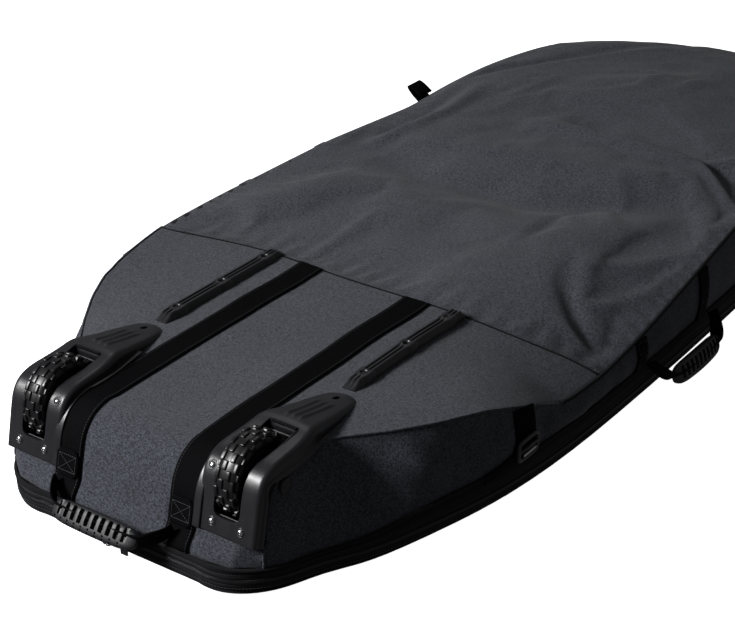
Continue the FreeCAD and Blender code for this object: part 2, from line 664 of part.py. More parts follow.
def sliders():
    add("zip_slider_far", slider(SLIDER_Y[0]))
    add("zip_slider_near", slider(SLIDER_Y[1]))
    centre = at(LUG_S, SLIDER_Y[0], LUG_Z - RING_R)
    add("pull_ring", Part.makeTorus(RING_R, RING_WIRE, centre, FreeCAD.Vector(1, 0, 0)))
    y = SLIDER_Y[1]
    leaf = block((LUG_S - 1.2, LUG_S + 1.2), (y - 5.0, y + 5.0), (4.0, LUG_Z - 4.0))
    cheeks = []
    for low in (y - 5.0, y + 2.2):
        cheeks.append(block((LUG_S - 1.2, LUG_S + 1.2), (low, low + 2.8), (LUG_Z - 4.0, LUG_Z + 1.4)))
    pin = rod(RING_WIRE, at(LUG_S, y - 5.0, LUG_Z), at(LUG_S, y + 5.0, LUG_Z))
    add("pull_tab", joined([leaf] + cheeks + [pin]))


def edge_piping():
    """Piped edge between the main top panel and the near side wall's top."""
    layer = ring(-PIPING, 0.0, SIDE_WALL_TOP - PIPING, SIDE_WALL_TOP + PIPING).cut(OUTER)
    add("edge_piping", layer.common(block((SEAM_S, BEYOND), (-TOP, TOP), (0.0, TOP))))


lid()
shell()
frame()
housings()
rails()
wheels()
straps()
side_straps()
tie_downs()
handles()
sliders()
edge_piping()

os.makedirs("parts", exist_ok=True)
for name, shape in parts.items():
    shape.exportStep("parts/" + name + ".step")
    print(name, len(shape.Solids), shape.isValid(), round(shape.Volume))
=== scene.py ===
import bmesh
import bpy
import json
import math
import numpy as np
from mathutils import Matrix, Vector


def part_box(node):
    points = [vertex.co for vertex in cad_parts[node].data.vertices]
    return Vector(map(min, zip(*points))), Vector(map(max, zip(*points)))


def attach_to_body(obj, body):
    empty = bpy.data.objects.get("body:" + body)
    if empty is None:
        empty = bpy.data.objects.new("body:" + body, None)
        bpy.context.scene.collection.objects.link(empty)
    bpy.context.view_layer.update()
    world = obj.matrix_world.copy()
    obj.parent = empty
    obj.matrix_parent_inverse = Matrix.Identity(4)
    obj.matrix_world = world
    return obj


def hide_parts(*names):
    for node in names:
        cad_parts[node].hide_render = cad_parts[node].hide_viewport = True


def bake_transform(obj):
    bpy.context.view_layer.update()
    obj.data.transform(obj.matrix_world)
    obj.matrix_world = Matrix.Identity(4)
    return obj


# A long padded board bag lying on its zipped lid, with the wheel side up.
# Shapes are worked out in bag coordinates, in millimetres: s runs from the tail face to the nose,
# y towards the hinged long side, z up from the floor. to_model() turns them into metres in the frame.

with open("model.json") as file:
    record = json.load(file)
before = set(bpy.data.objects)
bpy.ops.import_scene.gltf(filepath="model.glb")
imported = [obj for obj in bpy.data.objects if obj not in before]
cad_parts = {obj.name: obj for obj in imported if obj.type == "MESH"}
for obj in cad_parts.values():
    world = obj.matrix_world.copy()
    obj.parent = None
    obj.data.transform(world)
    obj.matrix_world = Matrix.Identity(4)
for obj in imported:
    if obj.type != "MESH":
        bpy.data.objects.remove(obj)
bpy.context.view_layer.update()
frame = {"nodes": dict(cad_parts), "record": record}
NODES = frame["nodes"]
MM = 0.001
SIDES = ((-1.0, "near"), (1.0, "far"))

# wheels, housings and rails
WHEEL_S, WHEEL_Y, WHEEL_Z = 59.0, 150.0, 129.0
TAIL_X = sum(corner.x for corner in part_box("near_axle")) / 2 - WHEEL_S * MM
TAIL_BULGE = (TAIL_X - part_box("lid_panel")[0].x) / MM
BAG_LENGTH = (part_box("lid_panel")[1].x - TAIL_X) / MM
PLATE_HALF = 43.0
FACE_LEAN = 0.23
# webbing and padding
STRAP_Y, STRAP_W, WEB_T = 87.0, 38.0, 1.8
SHELL_PAD = 5.0
WALL_BULGE = 5.0
# heights round the base
LID_TOP = 14.0
SHELL_BAND_LOW = 30.0


# ------------------------------------------------------------ coordinates and small mathematics
def to_model(points):
    moved = np.array(points, float) * MM
    moved[..., 0] += TAIL_X
    return moved


def points_of(*parts):
    """Points from coordinates that broadcast together."""
    return np.stack(np.broadcast_arrays(*parts), axis=-1)


def smoothstep(low, high, value):
    share = np.clip((np.asarray(value, float) - low) / (high - low), 0.0, 1.0)
    return share * share * (3.0 - 2.0 * share)


def bell(distance, width, power=2):
    """Smooth bump, 1 in the middle and 0 far away."""
    return np.exp(-0.5 * (distance / width) ** power)


def unit(vectors):
    length = np.linalg.norm(vectors, axis=-1, keepdims=True)
    return vectors / np.maximum(length, 1e-9)


def turns(count):
    return np.arange(count) * 2 * math.pi / count


def run_along(path):
    """Distance along a polyline at each of its points."""
    return np.concatenate([[0.0], np.cumsum(np.linalg.norm(np.diff(path, axis=0), axis=1))])


def evenly(path, step):
    """The same polyline with points an even step apart."""
    path = np.asarray(path, float)
    run = run_along(path)
    marks = np.linspace(0.0, run[-1], max(2, int(round(run[-1] / step)) + 1))
    return np.stack([np.interp(marks, run, path[:, k]) for k in range(path.shape[1])], axis=1)


def smooth_path(points, step, rounds=3):
    """Rounded polyline through given points (corner cutting, then even steps)."""
    path = np.asarray(points, float)
    for _ in range(rounds):
        a, b = path[:-1], path[1:]
        inner = np.stack([a * 0.75 + b * 0.25, a * 0.25 + b * 0.75], axis=1).reshape(-1, path.shape[1])
        path = np.vstack([path[:1], inner[1:-1], path[-1:]])
    return evenly(path, step)


def path_normal(path):
    """Unit normals of a path in the (s, z) plane."""
    tangent = unit(np.gradient(path, axis=0))
    return np.stack([-tangent[:, 1], tangent[:, 0]], axis=1)


def curve_of(pairs, blur=18.0):
    """Smooth function of s through given (s, value) pairs."""
    grid = np.arange(-300.0, 2000.0, 2.0)
    values = np.interp(grid, *zip(*pairs))
    half = int(1.5 * blur)
    weights = np.exp(-0.5 * (2.0 * np.arange(-half, half + 1) / blur) ** 2)
    values = np.convolve(np.pad(values, half, mode="edge"), weights / weights.sum(), mode="valid")
    return lambda s: np.interp(s, grid, values)


def lattice_noise(u, v, size, seed):
    """Smooth random heights between -1 and 1 whose bumps are about size across."""
    cells = np.random.default_rng(seed).uniform(-1.0, 1.0, (64, 64))
    x, y = np.asarray(u, float) / size + 8.0, np.asarray(v, float) / size + 8.0
    ix, iy = np.floor(x).astype(int), np.floor(y).astype(int)
    fx, fy = x - ix, y - iy
    fx, fy = fx * fx * (3 - 2 * fx), fy * fy * (3 - 2 * fy)
    a, b = cells[ix % 64, iy % 64], cells[(ix + 1) % 64, iy % 64]
    c, d = cells[ix % 64, (iy + 1) % 64], cells[(ix + 1) % 64, (iy + 1) % 64]
    return (a * (1 - fx) + b * fx) * (1 - fy) + (c * (1 - fx) + d * fx) * fy


def distance_to(s, y, path):
    """Distance in plan from each point to a polyline, and how far along it, from 0 to 1."""
    best = np.full(np.shape(s), 1e9)
    along = np.zeros(np.shape(s))
    for index, (start, end) in enumerate(zip(path, path[1:])):
        ds, dy = end[0] - start[0], end[1] - start[1]
        share = np.clip(((s - start[0]) * ds + (y - start[1]) * dy) / (ds * ds + dy * dy), 0, 1)
        gap = np.hypot(s - start[0] - share * ds, y - start[1] - share * dy)
        along = np.where(gap < best, (index + share) / (len(path) - 1), along)
        best = np.minimum(best, gap)
    return best, along


# ------------------------------------------------------------ mesh building
def grid_faces(rows, cols, wrap=False, keep=None):
    """Quads of a grid of points. wrap joins the last row to the first."""
    faces = []
    for r in range(rows if wrap else rows - 1):
        for c in range(cols - 1):
            if keep is None or keep[r, c]:
                low, high = r * cols + c, (r + 1) % rows * cols + c
                faces.append((low, low + 1, high + 1, high))
    return faces


def tube_faces(rows, cols, closed=False):
    """Quads between rings of points, with flat ends unless the last ring joins the first."""
    faces = []
    for r in range(rows if closed else rows - 1):
        low, high = r * cols, (r + 1) % rows * cols
        for c in range(cols):
            n = (c + 1) % cols
            faces.append((low + c, low + n, high + n, high + c))
    if not closed:
        faces += [tuple(range(cols)), tuple(range(rows * cols - 1, (rows - 1) * cols - 1, -1))]
    return faces


class Batch:
    """Points and faces of many small solids that make one piece."""

    def __init__(self):
        self.points, self.faces, self.count = [], [], 0

    def add(self, points, faces):
        points = np.asarray(points, float).reshape(-1, 3)
        self.points.append(points)
        self.faces += [tuple(self.count + i for i in face) for face in faces]
        self.count += len(points)
        return self

    def all_points(self):
        return np.vstack(self.points)

    def piece(self, name, slot, body, replaces=(), **rest):
        return add_mesh(name, self.all_points(), self.faces, slot, body, replaces, **rest)


def add_mesh(name, points, faces, slot=None, body=None, replaces=(), finish=None, uvs=None, closed=True,
             sharp=None):
    """One piece in place, smooth shaded. finish names its materials where they aren't its slot's."""
    mesh = bpy.data.meshes.new(name)
    mesh.from_pydata(to_model(np.asarray(points, float).reshape(-1, 3)).tolist(), [], faces)
    if uvs is not None:
        layer = mesh.uv_layers.new(name="UVMap")
        index = np.zeros(len(mesh.loops), np.int32)
        mesh.loops.foreach_get("vertex_index", index)
        layer.data.foreach_set("uv", np.asarray(uvs, np.float32).reshape(-1, 2)[index].ravel())
    if closed:
        edit(mesh, lambda work: bmesh.ops.recalc_face_normals(work, faces=work.faces))
    mesh.shade_smooth()
    if sharp:
        mesh.set_sharp_from_angle(angle=math.radians(sharp))
    piece = bpy.data.objects.new(name, mesh)
    bpy.context.scene.collection.objects.link(piece)
    for item in finish or ([slot] if slot else []):
        mesh.materials.append(MATERIAL[item])
    return attach(piece, body, replaces)


def add_grid(name, grid, slot, body=None, replaces=(), finish=None, uvs=None, wrap=False, keep=None,
             thick=None):
    """Piece from a grid of points, with its thickness about the grid if given."""
    piece = add_mesh(name, grid, grid_faces(*grid.shape[:2], wrap, keep), slot, None, (), finish, uvs, False)
    if thick:
        thicken(piece, thick, offset=0.0)
    return attach(piece, body, replaces)


def attach(piece, body=None, replaces=()):
    """Puts a piece on its body and hides the CAD nodes that it replaces."""
    if body:
        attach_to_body(piece, body)
    if replaces:
        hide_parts(*replaces)
    return piece


def edit(mesh, change):
    """Runs a change on a mesh through bmesh."""
    work = bmesh.new()
    work.from_mesh(mesh)
    change(work)
    work.to_mesh(mesh)
    work.free()


def weld(piece, gap=0.3):
    """Joins points that fall on each other, as at the tip of the nose."""
    edit(piece.data, lambda work: bmesh.ops.remove_doubles(work, verts=work.verts, dist=gap * MM))


def bake(piece):
    """Applies a piece's modifiers."""
    bpy.context.view_layer.update()
    graph = bpy.context.evaluated_depsgraph_get()
    final = bpy.data.meshes.new_from_object(piece.evaluated_get(graph))
    piece.modifiers.clear()
    piece.data = final
    return piece


def thicken(piece, thickness, offset=-1.0, inside=False):
    """Gives a sheet its thickness. With inside, the back takes the piece's second material."""
    layer = piece.modifiers.new("thickness", "SOLIDIFY")
    layer.thickness = thickness * MM
    layer.offset = offset
    layer.use_even_offset = False
    if inside:
        layer.material_offset = 1
        layer.material_offset_rim = 1
    return bake(piece)


def bevel(piece, width, segments=2, angle=40.0):
    edge = piece.modifiers.new("edges", "BEVEL")
    edge.width = width * MM
    edge.segments = segments
    edge.limit_method = "ANGLE"
    edge.angle_limit = math.radians(angle)
    bake(piece)
    piece.data.shade_smooth()
    piece.data.set_sharp_from_angle(angle=math.radians(angle))
    return piece


def cut(piece, points, faces):
    """Cuts closed solids out of a piece."""
    tool = add_mesh("cutter", points, faces)
    hole = piece.modifiers.new("hole", "BOOLEAN")
    hole.object = tool
    hole.operation = "DIFFERENCE"
    hole.solver = "EXACT"
    bake(piece)
    bpy.data.objects.remove(tool)
    return piece


BOX_CORNERS = np.array([(-1, -1, -1), (1, -1, -1), (1, 1, -1), (-1, 1, -1),
                        (-1, -1, 1), (1, -1, 1), (1, 1, 1), (-1, 1, 1)])


def solid_box(centre, size, axes=None):
    """Box with its own axes, as points and faces."""
    axes = np.eye(3) if axes is None else np.asarray(axes, float)
    points = np.asarray(centre, float) + (BOX_CORNERS * np.asarray(size, float) / 2.0) @ axes
    return points, tube_faces(2, 4)


def swept(path, section, up=(0.0, 0.0, 1.0), closed=False):
    """Closed section (side, up) swept along a path, with flat ends unless the path is closed."""
    path, section = np.asarray(path, float), np.asarray(section, float)
    tangent = unit(np.gradient(path, axis=0))
    side = unit(np.cross(tangent, np.broadcast_to(up, path.shape)))
    over = np.cross(side, tangent)
    points = path[:, None] + side[:, None] * section[None, :, :1] + over[:, None] * section[None, :, 1:]
    return points.reshape(-1, 3), tube_faces(len(path), len(section), closed)


def round_section(radius, sides=8, flat=1.0):
    turn = turns(sides)
    return np.stack([radius * np.cos(turn), radius * flat * np.sin(turn)], axis=1)


def capsule(start, end, radius, sides=6):
    """Stitch-like pill between two points."""
    path = np.array([start + (end - start) * share for share in (0.0, 0.18, 0.82, 1.0)])
    points, faces = swept(path, round_section(radius, sides), up=(0.13, 0.21, 0.97))
    points = points.reshape(4, sides, 3)
    for row in (0, 3):
        points[row] = path[row] + (points[row] - path[row]) * 0.45
    return points.reshape(-1, 3), faces


def lathe(profile, origin, axis, sides=32, ring=False):
    """Solid of revolution from (radius, height) pairs about an axis, or a ring with a closed profile."""
    axis = unit(np.asarray(axis, float))
    helper = np.array([0.0, 0.0, 1.0]) if abs(axis[2]) < 0.9 else np.array([1.0, 0.0, 0.0])
    e1 = unit(np.cross(axis, helper))
    e2 = np.cross(axis, e1)
    turn = turns(sides)
    rim = e1 * np.cos(turn)[:, None] + e2 * np.sin(turn)[:, None]
    points = np.array([np.asarray(origin, float) + axis * h + rim * r for r, h in profile])
    return points.reshape(-1, 3), tube_faces(len(profile), sides, ring)


def stitch_row(batch, path, normals, pitch=3.4, share=0.72, radius=0.42, lift=0.1):
    """Row of thread stitches on a surface."""
    both = evenly(np.hstack([path, normals]), pitch)
    spots, ups = both[:, :3], unit(both[:, 3:])
    for a, b, n in zip(spots, spots[1:], ups):
        middle, along = (a + b) / 2 + n * lift, (b - a) * share / 2
        batch.add(*capsule(middle - along, middle + along, radius))


def along_uv(grid):
    """Metres along and across a strip, for its weave."""
    run = run_along(grid.mean(axis=1)) * MM
    across = run_along(grid[len(grid) // 2]) * MM
    return np.stack(np.meshgrid(run, across, indexing="ij"), axis=2)


def web_strip(name, grid, body, thickness=WEB_T, replaces=()):
    """Flat webbing through a grid of points (rows along, columns across)."""
    return add_grid(name, grid, "webbing", body, replaces, uvs=along_uv(grid), thick=thickness)


# ------------------------------------------------------------ materials
class Nodes:
    """Short way to build a material's nodes."""

    def __init__(self, name, colour, roughness, **sockets):
        self.material = bpy.data.materials.new(name)
        self.material.use_nodes = True
        self.tree = self.material.node_tree
        self.shader = self.tree.nodes["Principled BSDF"]
        self.shader.inputs["Base Color"].default_value = (*colour, 1.0)
        self.shader.inputs["Roughness"].default_value = roughness
        for key, value in sockets.items():
            self.shader.inputs[key.replace("_", " ")].default_value = value

    def put(self, socket, value):
        if isinstance(value, bpy.types.NodeSocket):
            self.tree.links.new(value, socket)
        else:
            socket.default_value = value

    def add(self, kind, **inputs):
        node = self.tree.nodes.new(kind)
        for key, value in inputs.items():
            self.put(node.inputs[key], value)
        return node

    def math(self, operation, a, b=0.0):
        node = self.tree.nodes.new("ShaderNodeMath")
        node.operation = operation
        self.put(node.inputs[0], a)
        self.put(node.inputs[1], b)
        return node.outputs[0]

    def place(self):
        return self.add("ShaderNodeTexCoord").outputs["Object"]

    def split(self, vector):
        return self.add("ShaderNodeSeparateXYZ", Vector=vector).outputs

    def scaled(self, vector, scale):
        return self.add("ShaderNodeMapping", Vector=vector, Scale=scale).outputs[0]

    def noise(self, vector, scale, detail=2.0, roughness=0.5):
        node = self.add("ShaderNodeTexNoise", Vector=vector, Scale=scale, Detail=detail, Roughness=roughness)
        return node.outputs["Fac"]

    def ramp(self, value, stops):
        node = self.add("ShaderNodeValToRGB", Fac=value)
        element = node.color_ramp.elements
        while len(element) < len(stops):
            element.new(0.5)
        for item, (position, colour) in zip(element, stops):
            item.position = position
            item.color = (*colour, 1.0)
        return node.outputs["Color"]

    def mix(self, share, a, b, mode="MIX"):
        node = self.tree.nodes.new("ShaderNodeMix")
        node.data_type = "RGBA"
        node.blend_type = mode
        for index, value in ((0, share), (6, a), (7, b)):
            self.put(node.inputs[index], value)
        return node.outputs[2]

    def colour(self, socket):
        self.tree.links.new(socket, self.shader.inputs["Base Color"])

    def rough(self, value, low, high):
        node = self.add("ShaderNodeMapRange", Value=value)
        node.inputs["To Min"].default_value = low
        node.inputs["To Max"].default_value = high
        self.tree.links.new(node.outputs[0], self.shader.inputs["Roughness"])

    def bump(self, height, distance, strength=1.0):
        node = self.add("ShaderNodeBump", Height=height, Strength=strength, Distance=distance)
        self.tree.links.new(node.outputs["Normal"], self.shader.inputs["Normal"])

    def wave(self, coordinate, pitch):
        """Sine of a coordinate in metres, 0 to 1."""
        angle = self.math("MULTIPLY", coordinate, 2 * math.pi / pitch)
        return self.math("MULTIPLY_ADD", self.math("SINE", angle), 0.5)

    def weave(self, place, pitch, lean):
        """Over and under threads of a plain weave, on every side of the bag."""
        x, y, z = self.split(place)
        rise = self.math("MULTIPLY", z, lean)
        threads = [self.wave(self.math("ADD", value, rise), pitch) for value in (x, y)]
        return self.math("MULTIPLY", *threads)


def times(colour, factor, lift=0.0):
    return tuple(c * factor + lift for c in colour)


def heather_cloth(name, dark, light, weave=0.0011):
    """Melange cloth: light and dark yarn flecks both ways, over a plain weave."""
    n = Nodes(name, light, 0.86, Sheen_Weight=0.12, Sheen_Roughness=0.45, Specular_IOR_Level=0.25)
    place = n.place()
    warp = n.noise(n.scaled(place, (0.4, 1.0, 1.0)), 620.0, 4.0, 0.8)
    weft = n.noise(n.scaled(place, (1.0, 0.4, 0.6)), 660.0, 4.0, 0.8)
    flecks = n.math("MULTIPLY", n.math("ADD", warp, weft), 0.5)
    cloud = n.noise(place, 9.0, 3.0)
    middle = tuple((d + l) / 2 for d, l in zip(dark, light))
    yarn = n.ramp(flecks, [(0.44, dark), (0.5, middle), (0.56, light)])
    wear = n.ramp(cloud, [(0.35, (0.86, 0.86, 0.86)), (0.7, (1.0, 1.0, 1.0))])
    n.colour(n.mix(1.0, yarn, wear, "MULTIPLY"))
    n.bump(n.math("ADD", n.weave(place, weave, 0.7), n.math("MULTIPLY", flecks, 1.4)), 0.0004, 0.8)
    n.rough(flecks, 0.78, 0.95)
    return n.material


def plain_cloth(name, colour, weave=0.0012):
    n = Nodes(name, colour, 0.82, Sheen_Weight=0.02, Specular_IOR_Level=0.15)
    place = n.place()
    grain = n.noise(place, 700.0, 3.0, 0.6)
    n.colour(n.ramp(grain, [(0.35, colour), (0.7, times(colour, 1.9))]))
    n.bump(n.math("ADD", n.weave(place, weave, 1.0), grain), 0.00035, 0.7)
    n.rough(grain, 0.7, 0.92)
    return n.material


def web_cloth(name, colour, pitch=0.0021):
    """Nylon webbing: a rib across the strip and a herringbone along it, read from its UVs in metres."""
    n = Nodes(name, colour, 0.8, Specular_IOR_Level=0.03)
    along, across, _ = n.split(n.add("ShaderNodeTexCoord").outputs["UV"])
    rib = n.wave(n.math("ADD", along, n.math("PINGPONG", across, 0.0032)), pitch)
    edge = n.wave(across, 0.0016)
    grain = n.noise(n.place(), 1200.0, 2.0)
    woven = n.math("MULTIPLY", rib, grain)
    n.colour(n.ramp(woven, [(0.05, times(colour, 0.6)), (0.55, times(colour, 2.0))]))
    n.bump(n.math("ADD", rib, n.math("MULTIPLY", edge, 0.4)), 0.0005, 0.8)
    n.rough(grain, 0.5, 0.75)
    return n.material


def moulded(name, colour, low, high, grain_scale=1400.0, depth=0.00012, coat=0.0):
    """Moulded plastic or rubber with a fine grain, faint scuffs and uneven gloss."""
    n = Nodes(name, colour, low, Coat_Weight=coat, Coat_Roughness=0.2)
    place = n.place()
    grain = n.noise(place, grain_scale, 3.0, 0.6)
    smear = n.noise(n.scaled(place, (1.0, 3.0, 1.0)), 26.0, 5.0, 0.65)
    scuff = n.noise(n.scaled(place, (0.25, 2.0, 1.0)), 420.0, 4.0, 0.8)
    worn = n.ramp(scuff, [(0.66, (0.0, 0.0, 0.0)), (0.74, (1.0, 1.0, 1.0))])
    base = n.ramp(smear, [(0.3, times(colour, 0.85)), (0.75, times(colour, 1.2))])
    n.colour(n.mix(n.math("MULTIPLY", worn, 0.35), base, (*times(colour, 1.6, 0.012), 1.0)))
    n.rough(n.math("MULTIPLY", n.math("ADD", smear, grain), 0.5), low, high)
    n.bump(n.math("ADD", grain, n.math("MULTIPLY", worn, 0.6)), depth, 0.7)
    return n.material


def metal(name, colour, low, high):
    n = Nodes(name, colour, low, Metallic=1.0)
    brush = n.noise(n.scaled(n.place(), (1.0, 1.0, 12.0)), 900.0, 3.0, 0.7)
    n.colour(n.ramp(brush, [(0.3, times(colour, 0.8)), (0.7, colour)]))
    n.rough(brush, low, high)
    n.bump(brush, 0.00005, 0.5)
    return n.material


FINISHES = [
    (heather_cloth, "heather_fabric", (0.0086, 0.0092, 0.0124), (0.072, 0.0772, 0.0985)),
    (plain_cloth, "black_fabric", (0.003, 0.003, 0.0035)),
    (plain_cloth, "lining", (0.03, 0.03, 0.034), 0.0009),
    (web_cloth, "webbing", (0.0022, 0.0022, 0.0026)),
    (plain_cloth, "piping", (0.004, 0.004, 0.005), 0.0008),
    (plain_cloth, "zip_tape", (0.0075, 0.0075, 0.009), 0.0009),
    (moulded, "zip_coil", (0.014, 0.014, 0.016), 0.3, 0.5),
    (moulded, "satin_plastic", (0.011, 0.011, 0.0135), 0.2, 0.5),
    (moulded, "grip_rubber", (0.009, 0.009, 0.011), 0.4, 0.62, 900.0, 0.00015),
    (moulded, "tyre", (0.004, 0.004, 0.005), 0.28, 0.46, 900.0, 0.00006),
    (moulded, "hub_plastic", (0.012, 0.012, 0.013), 0.4, 0.6),
    (metal, "steel", (0.62, 0.62, 0.64), 0.16, 0.32),
    (metal, "black_screw", (0.06, 0.06, 0.065), 0.3, 0.5),
    (metal, "backing_steel", (0.4, 0.4, 0.41), 0.3, 0.5),
    (moulded, "board_plastic", (0.018, 0.018, 0.02), 0.5, 0.7),
    (moulded, "slider_metal", (0.01, 0.01, 0.011), 0.22, 0.4, 900.0, 0.0001, 0.3),
    (moulded, "thread", (0.03, 0.031, 0.036), 0.6, 0.8),
]
MATERIAL = {name: make(name, *values) for make, name, *values in FINISHES}


# ------------------------------------------------------------ plan outline
def plan_outline(samples):
    """Plan outline of the bag from the CAD lid panel: even (s, y) points from the middle of the tail,
    along the near side, round the nose and back along the far side, with their outward normals."""
    points = np.array([v.co[:] for v in NODES["lid_panel"].data.vertices])
    low = points[points[:, 2] < MM][:, :2] / MM
    low[:, 0] -= TAIL_X / MM
    low = np.unique(np.round(low, 2), axis=0)
    low = low[np.argsort(np.arctan2(low[:, 1], low[:, 0] - BAG_LENGTH / 2))]
    tail_middle = np.array([[-TAIL_BULGE, 0.0]])
    ring = np.vstack([tail_middle, low, tail_middle])
    run = run_along(ring)
    marks = np.linspace(0.0, run[-1], samples, endpoint=False)
    loop = np.stack([np.interp(marks, run, ring[:, k]) for k in range(2)], axis=1)
    along = unit(np.roll(loop, -3, axis=0) - np.roll(loop, 3, axis=0))
    return loop, np.stack([along[:, 1], -along[:, 0]], axis=1), run[-1] / samples


LOOP, LOOP_OUT, LOOP_STEP = plan_outline(900)
LOOP_S = LOOP[:, 0]
HINGE_ZONE = (LOOP_S > 300.0) & (LOOP_S < 1330.0) & (LOOP[:, 1] > 0.0)
NEAR_HALF = LOOP[(LOOP[:, 1] <= 0)]


def half_width(s):
    return np.interp(s, NEAR_HALF[:, 0], -NEAR_HALF[:, 1])


# Height of the black band's upper edge, the lid band's tuck, and heights of the top's edges and middle line
BAND_TOP = curve_of([(-20, 40), (10, 36), (110, 38), (178, 47), (250, 52), (1640, 53)])
TUCK = curve_of([(-20, 13), (60, 14), (280, 21), (1400, 21), (1640, 14)], 40.0)
NEAR_Z = curve_of([
    (70, 147), (112, 147), (140, 150), (200, 147), (250, 145), (306, 142), (374, 122), (430, 101), (459, 88),
    (554, 88), (658, 101), (773, 120), (833, 130), (944, 148), (1150, 150), (1300, 144), (1450, 130),
    (1622, 110), (1640, 110),
], 14.0)
FAR_Z = curve_of([
    (70, 147), (112, 147), (140, 148), (210, 142), (257, 148), (314, 153), (445, 160), (682, 157),
    (858, 157),
    (1075, 146), (1161, 152), (1277, 155), (1450, 158), (1560, 148), (1622, 112), (1640, 110),
])
MIDDLE_Z = curve_of([
    (70, 149), (250, 150), (490, 151), (700, 162), (1000, 171), (1300, 178), (1500, 183), (1590, 164),
    (1625, 118), (1640, 110),
])
EDGE_Y = curve_of([(60, 191), (122, 191), (146, 200), (200, 243), (250, 275), (306, 301)], 8.0)
INSET = curve_of([(306, 10), (374, 6), (459, 3), (600, 2), (944, 5), (1300, 6), (1640, 8)])
CROWN_POWER = curve_of([(100, 7), (300, 5), (430, 3.4), (600, 2.8), (900, 3.0), (1640, 2.4)])
FLANK_S = 306.0
PIPING_START_S = 455.0
CORNER_S = 18.0
TOP_START_S = 70.0
FACE_TOP_Z = 104.0
CORNER_Y = 196.0


def face_s(z):
    return -2.0 + FACE_LEAN * (np.asarray(z, float) - 44.0)


def corner_set_back(y):
    """How far the tail's corners stand back from its middle."""
    return 18.0 * smoothstep(168.0, CORNER_Y, np.abs(y))


def tail_edge(share, y):
    """Side view of the rounded tail edge: share 0 on the top, 1 where the face starts."""
    set_back = corner_set_back(y)
    a, b, c = (1 - share) ** 2, 2 * share * (1 - share), share ** 2
    s = a * TOP_START_S + b * (face_s(150.0) + set_back) + c * (face_s(FACE_TOP_Z) + set_back)
    return s, a * MIDDLE_Z(TOP_START_S) + b * 150.0 + c * FACE_TOP_Z


def rim():
    """Loop indices of the side wall, with its lower and upper edges and which side each is on."""
    index = np.arange(len(LOOP))
    start = index[(LOOP[:, 1] < 0) & (LOOP_S > CORNER_S)][0]
    end = index[(LOOP[:, 1] > 0) & (LOOP_S > CORNER_S)][-1]
    index = np.arange(start, end + 1)
    s, side = LOOP_S[index], np.where(LOOP[index, 1] < 0, -1.0, 1.0)
    low = np.column_stack([LOOP[index] - LOOP_OUT[index] * 1.5, BAND_TOP(s)])
    edge = LOOP[index] - LOOP_OUT[index] * INSET(s)[:, None]
    flank = smoothstep(FLANK_S + 30.0, FLANK_S - 10.0, s)[:, None]
    edge = edge * (1 - flank) + np.stack([s, side * EDGE_Y(s)], axis=1) * flank
    corner = s < TOP_START_S
    share = np.clip(1.0 - (s - s[0]) / (TOP_START_S - CORNER_S), 0.0, 1.0) * corner
    bend_s, bend_z = tail_edge(share, np.full(len(s), CORNER_Y))
    edge[corner, 0] = bend_s[corner]
    z = np.where(corner, bend_z, np.where(side < 0, NEAR_Z(s), FAR_Z(s)))
    return index, low, np.column_stack([edge, z]), side


RIM, RIM_LOW, RIM_EDGE, RIM_SIDE = rim()
NOSE_S = RIM_EDGE[:, 0].max()


def edge_at(s, side, column):
    """The upper edge's y or z at a distance from the tail."""
    own = RIM_EDGE[(RIM_SIDE == side) & (RIM_EDGE[:, 0] >= TOP_START_S - 2.0)]
    own = own[np.argsort(own[:, 0])]
    return np.interp(s, own[:, 0], own[:, column])


def crown(s, v):
    """Height of the padded top at a share v of the half width, -1 on the near edge."""
    edge = np.where(v < 0, edge_at(s, -1.0, 2), edge_at(s, 1.0, 2))
    return edge + (MIDDLE_Z(s) - edge) * (1.0 - np.abs(v) ** CROWN_POWER(s))


def half_top(s, v):
    """Half width of the top on the side that v is on."""
    return np.where(v < 0, -edge_at(s, -1.0, 1), edge_at(s, 1.0, 1))


SEAM_GRID = np.linspace(-1.0, 1.0, 81)
SEAM_ROUGH = np.interp(SEAM_GRID, [-1, -0.85, -0.67, -0.48, -0.15, 0.15, 0.48, 0.75, 1],
                       [556, 524, 502, 493, 484, 484, 490, 474, 446])
SEAM_LINE = (SEAM_GRID, np.convolve(np.pad(SEAM_ROUGH, 5, mode="edge"), np.ones(11) / 11, mode="valid"))


def seam_s(v):
    """Distance of the curved cross seam from the tail."""
    return np.interp(v, *SEAM_LINE)


